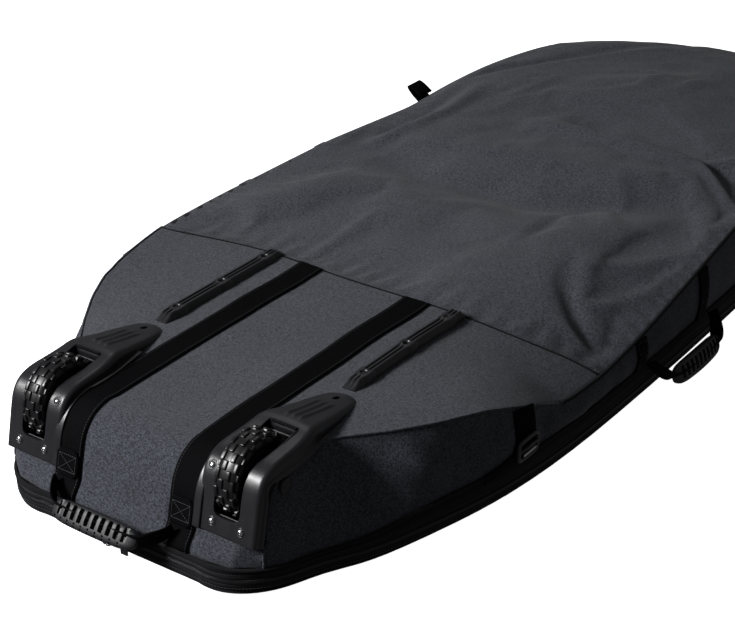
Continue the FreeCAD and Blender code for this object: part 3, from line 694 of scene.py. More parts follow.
# ------------------------------------------------------------ folds pressed into the cloth
FOLDS = [
    # path (s, y), height, half width
    ([(866, 240), (830, 122), (843, -43), (899, -165), (991, -269)], -17.0, 27.0),
    ([(960, 150), (955, 40), (985, -90), (1030, -180)], 9.0, 34.0),
    ([(1078, 110), (1080, 47), (1084, -64), (1079, -207)], 11.0, 14.0),
    ([(1120, 120), (1125, 20), (1128, -90), (1118, -190)], -9.0, 22.0),
    ([(1082, -200), (1045, -250), (1009, -292)], 6.0, 7.0),
    ([(1096, -215), (1080, -250), (1062, -285)], -6.0, 11.0),
    ([(1090, -200), (1118, -235), (1150, -262)], 6.0, 8.0),
    ([(880, 276), (907, 269), (965, 246), (1040, 236), (1106, 237), (1180, 246)], 8.0, 10.0),
    ([(915, 292), (1000, 278), (1091, 272), (1180, 276)], -6.0, 9.0),
    ([(1193, 293), (1264, 280), (1346, 224), (1460, 130), (1590, 24)], -5.0, 10.0),
    ([(700, -205), (760, -262), (851, -306), (958, -315)], 5.5, 12.0),
    ([(730, -190), (800, -236), (900, -262), (960, -262)], -4.5, 18.0),
    ([(640, -262), (672, -284), (740, -306), (830, -320)], 5.0, 9.0),
    ([(709, -110), (770, -112), (837, -108), (880, -126)], -3.5, 7.0),
    ([(620, 60), (680, -20), (700, -120), (760, -180)], -4.0, 30.0),
    ([(560, -318), (585, -285), (625, -240), (660, -215)], -3.0, 8.0),
    ([(562, -322), (572, -290), (580, -240)], 3.0, 7.0),
    ([(580, -322), (640, -300), (700, -290)], -2.5, 7.0),
    ([(560, 290), (640, 240), (760, 215)], 7.0, 24.0),
    ([(1250, 120), (1330, 0), (1360, -140)], 9.0, 22.0),
    ([(1300, 180), (1390, 60), (1420, -60)], -8.0, 26.0),
]


def folds(s, y):
    """How far the cloth stands above its smooth shape."""
    lift = 5.0 * lattice_noise(s, y, 190.0, 3) + 2.4 * lattice_noise(s + 0.5 * y, y, 92.0, 4)
    lift += 1.1 * lattice_noise(s + 0.3 * y, y - 0.2 * s, 41.0, 5)
    for path, height, width in FOLDS:
        gap, along = distance_to(s, y, path)
        lift += height * np.sin(math.pi * np.clip(along, 0.02, 0.98)) ** 0.5 * bell(gap, width)
    return lift


def puckers(along, gap, height, pitch):
    """Small gathers square to a seam, fading away from it."""
    wobble = lattice_noise(along, gap, 55.0, 9) * 1.6
    return height * np.sin(2 * math.pi * along / pitch + wobble) * np.exp(-gap / 26.0)


def main_surface(share, v):
    """Point of the long top panel: share 0 on the cross seam, 1 at the nose."""
    s = seam_s(v) + (NOSE_S - seam_s(v)) * share
    y = v * half_top(s, v)
    inner = 1.0 - smoothstep(0.9, 1.0, np.abs(v))
    z = crown(s, v) + folds(s, y) * inner * smoothstep(0.0, 0.03, share)
    room = (1.0 - np.abs(v)) * half_width(s)
    z = z + puckers(s, room, 1.5, 27.0) * smoothstep(1300.0, 700.0, s) * smoothstep(0.0, 4.0, room)
    z = z + puckers(y, s - seam_s(v), 0.8, 33.0) * smoothstep(0.0, 6.0, s - seam_s(v))
    return np.stack([s, y, z], axis=-1)


def tail_top(p, v):
    """Tail panel between the cross seam and the tail edge."""
    s = seam_s(v) + (TOP_START_S - seam_s(v)) * p
    y = v * half_top(s, v)
    inner = smoothstep(0, 0.1, p) * (1 - smoothstep(0.85, 1, np.abs(v)))
    return s, y, crown(s, v) + 0.9 * lattice_noise(s, y, 70.0, 12) * inner


def tail_face(p, y):
    """Tail panel from the tail edge down to the band, which it flares out to meet."""
    across = np.abs(y)
    foot = BAND_TOP(np.interp(across, [0, 168, 198], [-12, -5, 18]))
    z = FACE_TOP_Z + (foot - FACE_TOP_Z) * p
    flare = smoothstep(66.0, 42.0, z)
    lip = np.interp(across, [0.0, 120.0, 168.0, 198.0], [-12.0, -12.0, -5.0, 18.0]) + 1.5
    s = (face_s(z) + corner_set_back(y)) * (1 - flare) + lip * flare
    return s - 2.2 * np.sin(math.pi * np.clip((z - 42.0) / 62.0, 0, 1)) * (across < 66.0), z


def tail_surface(p, v):
    """Point of the tail panel: p 0 to 1 on the top from the cross seam, to 2 round the edge, to 3 down."""
    p, v = np.broadcast_arrays(np.asarray(p, float), np.asarray(v, float))
    s, y, z = tail_top(np.clip(p, 0, 1), v)
    edge_s, edge_z = tail_edge(np.clip(p - 1, 0, 1), v * CORNER_Y)
    low_s, low_z = tail_face(np.clip(p - 2, 0, 1), v * CORNER_Y)
    s = np.where(p <= 1, s, np.where(p <= 2, edge_s, low_s))
    z = np.where(p <= 1, z, np.where(p <= 2, edge_z, low_z))
    return np.stack([s, np.where(p <= 1, y, v * CORNER_Y), z], axis=-1)


def tail_v(p, y):
    """Share of the half width at which the tail panel passes through y."""
    v = y / half_width(480.0)
    for _ in range(5):
        s = seam_s(v) + (TOP_START_S - seam_s(v)) * np.clip(p, 0, 1)
        v = y / half_top(s, v)
    return v


def normals_of(surface, p, v, step=0.004):
    a = surface(p + step, v) - surface(p - step, v)
    b = surface(p, v + step) - surface(p, v - step)
    normal = unit(np.cross(a, b))
    outward = normal[..., 2] - normal[..., 0]
    return normal * np.where(outward < 0, -1.0, 1.0)[..., None]


def on_tail(p, y, lift):
    """Points at given y on the tail panel, lifted off the cloth."""
    p, y = np.broadcast_arrays(np.asarray(p, float), np.asarray(y, float))
    v = tail_v(p, y)
    lift = np.broadcast_to(lift, p.shape)[..., None]
    return tail_surface(p, v) + normals_of(tail_surface, p, v) * lift


def wall_point(side, s, z, lift=0.0):
    """Point on the side wall at a distance from the tail and a height."""
    s, z = np.broadcast_arrays(np.asarray(s, float), np.asarray(z, float))
    own = RIM_SIDE == side
    order = np.argsort(RIM_LOW[own, 0])
    low_s, low_y, low_z = RIM_LOW[own][order].T
    edge_s, edge_y, edge_z = RIM_EDGE[own][order].T
    y0, z0 = np.interp(s, low_s, low_y), np.interp(s, low_s, low_z)
    y1, z1 = np.interp(s, edge_s, edge_y), np.interp(s, edge_s, edge_z)
    share = np.clip((z - z0) / np.maximum(z1 - z0, 1.0), 0.0, 1.0)
    bulge = WALL_BULGE * np.sin(math.pi * share) + lift
    return np.stack([s, y0 + (y1 - y0) * share + side * bulge, z], axis=-1)


# ------------------------------------------------------------ soft shell and lid
DRAPE_FRAMES = 16
DRAPE_CAP = 3.5
SHELL_CLOTH = ("heather_fabric", "lining")
PANEL_V = np.linspace(-1.0, 1.0, 151)
# Creases of the near side wall: two ends (s, z), height and half width
WALL_FOLDS = [
    ((150, 140), (196, 60), -8.0, 9.0),
    ((196, 132), (246, 78), 6.5, 11.0),
    ((262, 138), (300, 66), -7.0, 10.0),
    ((330, 120), (352, 60), 5.0, 9.0),
    ((402, 104), (432, 58), -6.0, 9.0),
    ((452, 84), (520, 56), 4.0, 8.0),
    ((560, 88), (600, 56), -3.5, 9.0),
    ((690, 108), (770, 60), 3.5, 12.0),
]


def corners_of(mesh):
    flat = np.zeros(len(mesh.vertices) * 3)
    mesh.vertices.foreach_get("co", flat)
    return flat.reshape(-1, 3)


def drape(piece, held):
    """Lets a sheet with a little spare cloth settle into soft wrinkles between its held edges."""
    before = corners_of(piece.data)
    group = piece.vertex_groups.new(name="held")
    group.add([int(i) for i in np.nonzero(held)[0]], 1.0, "REPLACE")
    layer = piece.modifiers.new("drape", "CLOTH")
    cloth = layer.settings
    cloth.vertex_group_mass = "held"
    cloth.mass = 0.25
    cloth.quality = 6
    cloth.tension_stiffness = 20.0
    cloth.compression_stiffness = 20.0
    cloth.shear_stiffness = 8.0
    cloth.bending_stiffness = 1.5
    cloth.shrink_min = -0.018
    cloth.use_pressure = True
    cloth.uniform_pressure_force = 0.4
    cloth.effector_weights.gravity = 0.0
    layer.point_cache.frame_start = 1
    layer.point_cache.frame_end = DRAPE_FRAMES
    for number in range(1, DRAPE_FRAMES + 1):
        bpy.context.scene.frame_set(number)
    bake(piece)
    piece.vertex_groups.clear()
    bpy.context.scene.frame_set(1)
    move = corners_of(piece.data) - before
    size = np.linalg.norm(move, axis=1, keepdims=True)
    cap = DRAPE_CAP * MM
    move *= cap * np.tanh(size / cap) / np.maximum(size, 1e-9)
    piece.data.vertices.foreach_set("co", (before + move).ravel())
    piece.data.update()


def finish_cloth(piece, nodes, pad, body="shell"):
    middle = to_model(np.array([BAG_LENGTH / 2, 0.0, 20.0]))
    mesh = piece.data
    outward = sum(np.dot(face.center - Vector(middle), face.normal) for face in mesh.polygons)
    if outward < 0:
        mesh.flip_normals()
    thicken(piece, pad, inside=True)
    piece.data.shade_smooth()
    attach(piece, body, nodes)


def main_panel():
    share = 1.0 - (1.0 - np.linspace(0.0, 1.0, 236)) ** 1.5
    grid = main_surface(*np.meshgrid(share, PANEL_V, indexing="ij"))
    piece = add_grid("main_panel", grid, "heather_fabric", finish=SHELL_CLOTH)
    weld(piece)
    plan = corners_of(piece.data)[:, :2] / MM
    s = plan[:, 0] - TAIL_X / MM
    v = plan[:, 1] / np.maximum(half_top(s, plan[:, 1]), 1.0)
    held = (np.abs(v) > 0.975) | (s < seam_s(v) + 10.0) | (s > NOSE_S - 25.0)
    drape(piece, held)
    finish_cloth(piece, ("main_top_panel",), SHELL_PAD)


def tail_panel():
    """One cloth over the top, round the tail edge and down the face, open behind each wheel."""
    p = np.concatenate([np.linspace(0, 1, 100), np.linspace(1, 2, 22)[1:], np.linspace(2, 3, 18)[1:]])
    grid = tail_surface(*np.meshgrid(p, PANEL_V, indexing="ij"))
    s, y, z = np.moveaxis((grid[:-1, :-1] + grid[1:, 1:]) / 2, -1, 0)
    well = (np.abs(np.abs(y) - WHEEL_Y) < PLATE_HALF - 2.5) & (z > 70.0) & (s < 119.0)
    piece = add_grid("tail_panel", grid, "heather_fabric", finish=SHELL_CLOTH, keep=~well)
    finish_cloth(piece, ("tail_wall", "tail_top_panel"), SHELL_PAD)


def side_wall():
    rows = np.linspace(0.0, 1.0, 26)
    grid = RIM_LOW[:, None] * (1 - rows[None, :, None]) + RIM_EDGE[:, None] * rows[None, :, None]
    out = np.column_stack([LOOP_OUT[RIM], np.zeros(len(RIM))])
    u, t = np.meshgrid(np.arange(len(RIM)) * LOOP_STEP, rows, indexing="ij")
    crease = 1.6 * lattice_noise(u, 60 * t, 55.0, 21) + 1.1 * lattice_noise(u + 40 * t, 20 * t, 19.0, 22)
    swell = (WALL_BULGE + crease) * np.sin(math.pi * t)
    height = np.where(grid[..., 1] < 0, grid[..., 2], -1e3)
    for start, end, depth, width in WALL_FOLDS:
        gap, along = distance_to(grid[..., 0], height, (start, end))
        swell += depth * np.sin(math.pi * np.clip(along, 0.0, 1.0)) * bell(gap, width)
    grid = grid + out[:, None] * swell[..., None]
    piece = add_grid("side_wall", grid, "heather_fabric", finish=SHELL_CLOTH)
    finish_cloth(piece, ("near_side_wall", "far_side_wall", "nose_wall"), SHELL_PAD)


def loop_band(name, section, slot, body, replaces, keep=None):
    """Closed section of (outset, z), each a number or one for each loop point, swept round the plan."""
    count = len(LOOP)
    section = list(section) + [section[0]]
    outset = np.stack([np.broadcast_to(np.asarray(o, float), count) for o, _ in section], axis=1)
    height = np.stack([np.broadcast_to(np.asarray(z, float), count) for _, z in section], axis=1)
    plan = LOOP[:, None] + LOOP_OUT[:, None] * outset[..., None]
    grid = np.concatenate([plan, height[..., None]], axis=2)
    along = np.arange(count) * LOOP_STEP * MM
    uvs = np.stack(np.meshgrid(along, run_along(grid[0]) * MM, indexing="ij"), axis=2)
    cols = len(section)
    faces = grid_faces(count, cols, wrap=True)
    if keep is not None:
        hold = np.broadcast_to((keep & np.roll(keep, -1))[:, None], (count, cols - 1))
        faces = grid_faces(count, cols, wrap=True, keep=hold)
        for index in np.nonzero(keep & ~(np.roll(keep, -1) & np.roll(keep, 1)))[0]:
            faces.append(tuple(index * cols + c for c in range(cols - 1)))
    piece = add_mesh(name, grid, faces, slot, uvs=uvs, closed=False)
    weld(piece, 0.02)
    edit(piece.data, tidy_loose)
    attach(piece, body, replaces)


def tidy_loose(work):
    """Deletes points without faces and turns all faces outwards."""
    bmesh.ops.delete(work, geom=[x for x in work.verts if not x.link_faces], context="VERTS")
    bmesh.ops.recalc_face_normals(work, faces=work.faces)


def round_band(name, outset, z, radius, replaces, body):
    section = [(outset + radius * math.cos(a), z + radius * math.sin(a)) for a in turns(8)]
    loop_band(name, section, "piping", body, replaces)


def base_bands():
    waver = 0.8 * lattice_noise(np.arange(len(LOOP)) * LOOP_STEP, LOOP_S * 0, 60.0, 31)
    top = BAND_TOP(LOOP_S)
    middle = (top + SHELL_BAND_LOW) / 2
    bulge = 1.2 + waver
    upper = [(-1.0, SHELL_BAND_LOW), (bulge, SHELL_BAND_LOW + 3.0), (1.4 + bulge, middle),
             (bulge, top - 3.0),
             (-0.5, top), (-4.5, top), (-5.0, middle), (-5.0, SHELL_BAND_LOW)]
    loop_band("upper_band", upper, "black_fabric", "shell", ("shell_band",))
    tuck = TUCK(LOOP_S)
    lower = [(-1.0, LID_TOP + 0.5), (0.6 + waver, LID_TOP - 2.0), (-0.2 * tuck + waver, 7.0),
             (-0.7 * tuck, 2.2), (-tuck, 0.6), (-tuck - 6.0, 0.6), (-tuck - 5.0, 4.0),
             (-0.6 * tuck - 5.0, 7.0), (-5.0, LID_TOP)]
    loop_band("lower_band", lower, "black_fabric", "lid", ("lid_band",))
    round_band("upper_piping", 0.6, top, 2.4, ("shell_piping",), "shell")
    round_band("lower_piping", -0.32 * tuck + 1.2, 6.0, 2.2, ("lid_piping",), "lid")
    shell_tape = [(-0.4, 24.6), (0.3, 27.0), (0.2, 31.0), (-1.4, 31.0), (-1.4, 24.6)]
    lid_tape = [(0.2, 13.0), (0.3, 17.0), (-0.4, 19.4), (-1.4, 19.4), (-1.4, 13.0)]
    loop_band("upper_zip_tape", shell_tape, "zip_tape", "shell", ("shell_zip_tape",), ~HINGE_ZONE)
    loop_band("lower_zip_tape", lid_tape, "zip_tape", "lid", ("lid_zip_tape",), ~HINGE_ZONE)
    teeth("upper_zip_teeth", 23.6, 0.0, "shell", "shell_zip_teeth")
    teeth("lower_zip_teeth", 20.4, 0.5, "lid", "lid_zip_teeth")
    band_stitching("upper_zip_stitching", 31.5, 1.0, "shell")
    band_stitching("lower_zip_stitching", 12.6, 0.6, "lid")
    hinge_strip()


TOOTH_PITCH = 2.7


def loop_at(run):
    """Plan point and outward direction at a distance along the outline."""
    index = np.asarray(run, float) / LOOP_STEP
    low = np.floor(index).astype(int) % len(LOOP)
    share = (index - np.floor(index))[..., None]
    high = (low + 1) % len(LOOP)
    outward = unit(LOOP_OUT[low] * (1 - share) + LOOP_OUT[high] * share)
    return LOOP[low] * (1 - share) + LOOP[high] * share, outward


def teeth(name, z, phase, body, node):
    """Row of moulded coil turns, each a small rounded bar across the tape's edge."""
    batch = Batch()
    count = int(len(LOOP) * LOOP_STEP / TOOTH_PITCH)
    spots, out = loop_at((np.arange(count) + phase) * TOOTH_PITCH)
    lean = 0.5 if phase else -0.5
    for (s, y), (a, b) in zip(spots, out):
        if 298.0 < s < 1332.0 and y > 0:
            continue
        axes = [(-b, a, 0.0), (0.0, 0.0, 1.0), (a, b, 0.0)]
        batch.add(*solid_box((s + a * 0.4, y + b * 0.4, z + lean), (1.3, 3.6, 2.2), axes))
    bevel(batch.piece(name, "zip_coil", body, (node,)), 0.42, 1, 30.0)


def band_stitching(name, z, lift, body):
    """Top stitching along a band, beside the zip."""
    batch = Batch()
    path = np.column_stack([LOOP + LOOP_OUT * lift, np.full(len(LOOP), z)])[::3]
    normal = np.column_stack([LOOP_OUT, np.zeros(len(LOOP))])[::3]
    stitch_row(batch, path, normal, 4.2, 0.7, 0.45, 0.3)
    batch.piece(name, "black_fabric", body, finish=("thread",))


def hinge_strip():
    """Cloth that joins the lid to the shell along the far side."""
    heights = np.linspace(12.0, 33.0, 15)
    out = 0.6 + 1.6 * np.sin(math.pi * (heights - 12.0) / 21.0)
    s, y = np.moveaxis(LOOP[HINGE_ZONE][:, None] + LOOP_OUT[HINGE_ZONE][:, None] * out[:, None], -1, 0)
    grid = points_of(s, y, heights)
    piece = add_grid("hinge_cloth", grid, "black_fabric", None, ("hinge_tape",), thick=1.6)
    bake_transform(piece)


LID_RINGS = np.linspace(0.0, 1.0, 70)


def lid_plan(inset):
    """Rings of plan points from the lid's edge in to its middle line."""
    plan = LOOP[::3] - LOOP_OUT[::3] * inset
    spine = points_of(np.clip(plan[:, 0], 300.0, BAG_LENGTH - 320.0), 0.0)
    rings = LID_RINGS[:, None]
    return np.moveaxis(plan[:, None] * (1 - rings) + spine[:, None] * rings, -1, 0)


def lid():
    """Padded lid: an outer cloth that lies on the floor and a quilted liner inside."""
    s, y = lid_plan((TUCK(LOOP_S[::3]) + 1.0)[:, None])
    z = 0.9 + 0.3 * lattice_noise(s, y, 80.0, 41) * smoothstep(0.0, 0.06, LID_RINGS)
    piece = add_grid("lid_cloth", points_of(s, y, z), "heather_fabric", wrap=True)
    weld(piece)
    thicken(piece, 0.9, offset=0.0)
    attach(piece, "lid", ("lid_panel",))

    s, y = lid_plan(6.0)
    quilt = 90.0
    groove = np.minimum(*(np.abs(across % quilt - quilt / 2) for across in (s + y, s - y)))
    z = 4.0 + 8.5 * smoothstep(0.0, 0.08, LID_RINGS) + 2.2 * (1.0 - np.exp(-groove / 9.0))
    piece = add_grid("lid_liner", points_of(s, y, z), "black_fabric", finish=("lining", "lining"), wrap=True)
    weld(piece)
    finish_cloth(piece, ("lid_padding",), 3.0, body="lid")


# ------------------------------------------------------------ seams, straps and patches on the shell
def seams():
    v = np.linspace(-0.995, 0.995, 160)
    batch = Batch()
    for share in (0.0066, 0.011):
        row = np.full(160, share)
        stitch_row(batch, main_surface(row, v), normals_of(main_surface, row, v), 3.6, 0.7, 0.4, 0.25)
    batch.piece("cross_seam_stitching", "heather_fabric", "shell", finish=("thread",))
    cord = main_surface(np.full(160, 0.0), v) + np.array([0.0, 0.0, 0.6])
    seam = swept(cord, round_section(1.3, 8, 0.7))
    add_mesh("cross_seam", *seam, "heather_fabric", "shell", finish=("piping",))

    piped = RIM_EDGE[:, 0] >= PIPING_START_S
    cord = RIM_EDGE[piped]
    drop = np.where(RIM_SIDE[piped] > 0, -5.0, 0.8) * smoothstep(BAG_LENGTH, BAG_LENGTH - 60.0, cord[:, 0])
    cord = cord + drop[:, None] * np.array([0.0, 0.0, 1.0])
    add_mesh("edge_cord", *swept(cord, round_section(2.7, 10)), "piping", "shell", ("edge_piping",))
    for side, name in SIDES:
        own = RIM_EDGE[(RIM_SIDE == side) & ~piped]
        face = tail_surface(np.linspace(2.0, 3.0, 24), np.full(24, side))
        for title, path in (("_tail_seam", own), ("_corner_seam", face)):
            add_mesh(name + title, *swept(path, round_section(1.7, 8)), "heather_fabric", "shell")


def stitch_on_tail(batch, p, y, lift, base, pitch, share, radius):
    """Stitches on the tail panel at a lift, standing square to it."""
    path = on_tail(p, y, lift)
    stitch_row(batch, path, unit(path - on_tail(p, y, base)), pitch, share, radius, 0.0)


def tail_straps():
    p = np.concatenate([np.linspace(-0.012, 1, 90), np.linspace(1, 2, 22)[1:], np.linspace(2, 2.98, 16)[1:]])
    on_panel = np.maximum(p, 0.0)
    bend = 1.2 * np.sin(np.clip((0.42 - p) / 0.42, 0, 1) * 2 * math.pi) * (p < 0.42)
    across = np.linspace(-STRAP_W / 2, STRAP_W / 2, 9)
    for side, name in SIDES:
        y = side * STRAP_Y + bend[:, None] + across[None]
        ripple = 0.5 * lattice_noise(p[:, None] * 150.0, y * 0 + side * 40, 22.0, 51)
        grid = on_tail(on_panel[:, None], y, 1.9 + ripple)
        web_strip(name + "_strap", grid, "shell", replaces=(name + "_tail_strap",))
        batch = Batch()
        for shift in (-STRAP_W / 2 + 3.0, STRAP_W / 2 - 3.0):
            stitch_on_tail(batch, on_panel, side * STRAP_Y + bend + shift, 3.0, 1.0, 3.8, 0.68, 0.36)
        batch.piece(name + "_strap_stitching", "webbing", "shell", finish=("thread",))


def face_p(z):
    """Position on the tail panel of a height on the face."""
    return 2.0 + (FACE_TOP_Z - np.asarray(z, float)) / (FACE_TOP_Z - 40.0)


PATCH_STITCHES = [(-13, 93), (13, 93), (13, 73), (-13, 73), (-13, 93), (13, 73), (13, 93), (-13, 73)]


def handle_tabs():
    """Sewn end of the tail handle on each strap: a box-stitched patch with cut corners."""
    z = np.linspace(100.0, 66.0, 18)
    taper = np.interp(z, [66.0, 72.0, 94.0, 100.0], [0.62, 1.0, 1.0, 0.62])
    across = np.linspace(-17.0, 17.0, 9)
    for side, name in SIDES:
        grid = on_tail(face_p(z)[:, None], side * STRAP_Y + across[None] * taper[:, None], 4.4)
        web_strip(name + "_patch", grid, "shell", 2.0, ("handle_patches",) if side < 0 else ())
        batch = Batch()
        for start, end in zip(PATCH_STITCHES, PATCH_STITCHES[1:]):
            y, height = np.linspace(start, end, 8).T
            stitch_on_tail(batch, face_p(height), side * STRAP_Y + y, 5.7, 3.0, 3.2, 0.7, 0.42)
        batch.piece(name + "_patch_stitching", "webbing", "shell", finish=("thread",))


def side_wall_strip(name, side, stations, half, lift, replaces=()):
    """Webbing down the side wall through (s, z) stations."""
    path = evenly(np.array(stations, float), 5.0)
    plan = path[:, None] + path_normal(path)[:, None] * np.linspace(-half, half, 9)[None, :, None]
    web_strip(name, wall_point(side, plan[..., 0], plan[..., 1], lift), "shell", replaces=replaces)


def leg_stitching(side, name, s):
    """Two boxes of stitches with a diagonal on a handle leg."""
    batch = Batch()
    for z in (58.0, 80.0):
        loop = [(s - 10, z), (s + 10, z), (s + 10, z + 16), (s - 10, z + 16), (s - 10, z), (s + 10, z + 16)]
        line = evenly(np.array(loop, float), 3.0)
        path = wall_point(side, line[:, 0], line[:, 1], 3.7)
        stitch_row(batch, path, np.broadcast_to([0.0, side, 0.0], path.shape), 3.0, 0.7, 0.4, 0.0)
    batch.piece(name, "webbing", "shell", finish=("thread",))


def side_straps():
    for (side, name), edge_z in zip(SIDES, (NEAR_Z, FAR_Z)):
        strap = [(376, edge_z(374.0) - 1.0), (374, 96), (371, 76), (370, 68)]
        title, node = name + "_compression_webbing", name + "_compression_strap"
        side_wall_strip(title, side, strap, 19.0, 2.6, (node,))
        tail = [(366, 70), (352, 61), (330, 54), (302, 50)]
        side_wall_strip(name + "_compression_tail", side, tail, 5.5, 3.4)
        buckle(side, name)
        for part, s in (("tail", 650.0), ("nose", 834.0)):
            nodes = (name + "_side_handle_legs",) if part == "tail" else ()
            leg = [(s, edge_z(s) - 1.0), (s, 66), (s, 50)]
            side_wall_strip(name + "_handle_leg_" + part, side, leg, 13.0, 2.4, nodes)
            leg_stitching(side, name + "_leg_stitching_" + part, s)


def buckle(side, name):
    """Ladder buckle: a rounded frame with a middle bar, and a bright bar that the webbing turns round."""
    low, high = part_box(name + "_compression_buckle")
    centre = (np.array(low) + np.array(high)) / 2 / MM - (TAIL_X / MM, 0.0, 0.0)
    turn = turns(40)
    c, d = np.cos(turn), np.sin(turn)
    ring = points_of(np.sign(c) * 22.0 * np.abs(c) ** 0.35, 0.0, np.sign(d) * 12.5 * np.abs(d) ** 0.35)
    batch = Batch().add(*swept(centre + ring, round_section(3.0, 8, 0.85), up=(0.0, 1.0, 0.0), closed=True))
    bar = centre + np.array([(-22.0, 0, 0), (0, side, 0), (22.0, 0, 0)])
    batch.add(*swept(bar, round_section(2.6, 8)))
    batch.piece(name + "_buckle", "satin_plastic", "shell", (name + "_compression_buckle",))
    pin = centre + np.array([(-15.0, side * 3.0, -5.5), (15.0, side * 3.0, -5.5)])
    add_mesh(name + "_buckle_bar", *swept(evenly(pin, 5.0), round_section(1.5, 10)), "steel", "shell")


def loop_tab():
    """Folded webbing loop on the far edge, leaning up."""
    low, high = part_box("far_loop_tab")
    s0, s1 = (low.x - TAIL_X) / MM - 5.0, (high.x - TAIL_X) / MM + 5.0
    y0, y1 = low.y / MM - 4.0, high.y / MM + 8.0
    turn = np.linspace(-math.pi / 2, math.pi / 2, 13)
    y = np.concatenate([[y0], y0 + 6 + (y1 - y0 - 6) * np.cos(turn), [y0]])
    z = FAR_Z((s0 + s1) / 2) - 2.0 + np.concatenate([[-6.0], 6.0 * np.sin(turn), [6.0]]) + 0.7 * (y - y0)
    grid = points_of(np.linspace(s0, s1, 7), y[:, None], z[:, None])
    web_strip("loop_tab", grid, "shell", replaces=("far_loop_tab",))


# ------------------------------------------------------------ wheel housings
HOUSING_PATH = [
    (2.0, 72.0), (5.5, 88.0), (9.5, 106.0), (14.0, 127.0), (18.5, 142.0), (28.0, 155.0), (44.0, 162.0),
    (64.0, 164.0), (86.0, 165.0), (104.0, 167.5), (118.0, 171.0), (130.0, 170.0), (152.0, 165.0),
    (190.0, 158.5), (218.0, 154.0), (236.0, 149.0), (248.0, 141.0),
]
HOUSING_HALF = curve_of([(90, 43), (116, 41), (150, 35), (200, 28), (228, 21), (240, 15), (250, 9)], 6.0)
NEAR_SHIFT = curve_of([(60, 3), (120, 4), (240, 6)])
SKIRT_Z = curve_of([(30, 141), (80, 141), (119, 139), (143, 144), (250, 143)], 8.0)
FABRIC_Z = 142.0
OVAL_S = 214.0
WELL_REACH, WELL_HALF = 58.5, 21.5


def housing_shift(side, s):
    """How far the housing's middle stands outside the wheel's. The far one is central."""
    return NEAR_SHIFT(s) if side < 0 else np.zeros(np.shape(s))


def skirt_depth(s, z, low):
    """How far the housing's side hangs below its back."""
    depth = np.where(s < 16.0, 14.0, np.clip(z - low, 9.0, 60.0))
    return np.convolve(np.pad(depth, 4, mode="edge"), np.ones(9) / 9, mode="valid")


def housing_section(s, z):
    """Distances across and inwards of the housing's section at each point of its path."""
    half = HOUSING_HALF(s)
    radius = np.interp(s, [0, 20, 60, 130, 200, 253], [5, 6, 6, 10, 7, 4])
    skirt = skirt_depth(s, z, SKIRT_Z(s)) - radius
    bends = [(half - radius * (1 - math.cos(a)), radius * (1 - math.sin(a)))
             for a in np.linspace(0, math.pi / 2, 7)]
    cols = [(half + 1.2 * share + (1.6 if share > 0.58 else 0.0), radius + skirt * share)
            for share in (1.0, 0.8, 0.6, 0.56, 0.3)]
    cols += bends
    ribbed = smoothstep(126.0, 136.0, s) * smoothstep(200.0, 184.0, s)
    for share in np.linspace(1.0, -1.0, 31)[1:-1]:
        c = (half - radius) * share
        rib = sum(bell(c - k, 1.9, 4) for k in (-10.0, 0.0, 10.0))
        arch = 1.4 * (1 - share * share) * smoothstep(100.0, 130.0, s)
        cols.append((c, -arch - 1.9 * rib * ribbed))
    cols += [(-c, d) for c, d in reversed(bends)]
    skirt = skirt_depth(s, z, FABRIC_Z) - radius
    cols += [(-half - share, radius + skirt * share) for share in (0.25, 0.5, 0.75, 1.0)]
    return [np.stack([col[k] for col in cols], axis=1) for k in (0, 1)]


def housing(side, name):
    """Moulded wheel cover: a plate down the tail face, cheeks beside the wheel and a ribbed fairing."""
    path = smooth_path(HOUSING_PATH, 2.6)
    normal = path_normal(path)
    s, z = path.T
    c, d = housing_section(s, z)
    across = side * (WHEEL_Y + c + housing_shift(side, s)[:, None])
    grid = points_of(s[:, None] - normal[:, :1] * d, across, z[:, None] - normal[:, 1:] * d)
    piece = add_grid(name + "_housing", grid, "satin_plastic")
    mesh = piece.data
    if mesh.polygons[len(mesh.polygons) // 2].normal.z < 0:
        mesh.flip_normals()
    thicken(piece, 3.4)
    tool = wheel_opening(side)
    turn = turns(20)
    oval_y = side * (WHEEL_Y + float(housing_shift(side, OVAL_S))) + 3.6 * np.sin(turn)
    tool.add(points_of(OVAL_S + 6.5 * np.cos(turn), oval_y, [[150.0], [175.0]]), tube_faces(2, 20))
    cut(piece, tool.all_points(), tool.faces)
    bevel(piece, 0.7, 2, 42.0)
    attach(piece, "shell", (name + "_wheel_housing",))
    housing_base(side, name)
    inner_flange(side, name)
    wheel_well(side, name)
    scraper(side, name)


HALF_OPENING = [(0.45, 93.0), (0.74, 94.5), (0.93, 98.0), (1.0, 104.0), (1.0, 220.0)]
OPENING = [(-y, z) for y, z in HALF_OPENING[-2::-1]] + HALF_OPENING + [(-1.0, 220.0)]


def wheel_opening(side):
    """Cutter for the wheel's opening: rounded at its foot and wider over the top of the wheel."""
    stations = [(-40.0, 19.0, 2.0), (16.0, 19.0, 2.0), (50.0, 21.5, 4.0), (108.0, 22.5, 6.0),
                (114.0, 21.0, 6.0)]
    rings = [(s, side * (WHEEL_Y + (shift if side < 0 else 0.0) + half * y), z)
             for s, half, shift in stations for y, z in OPENING]
    return Batch().add(rings, tube_faces(len(stations), len(OPENING)))


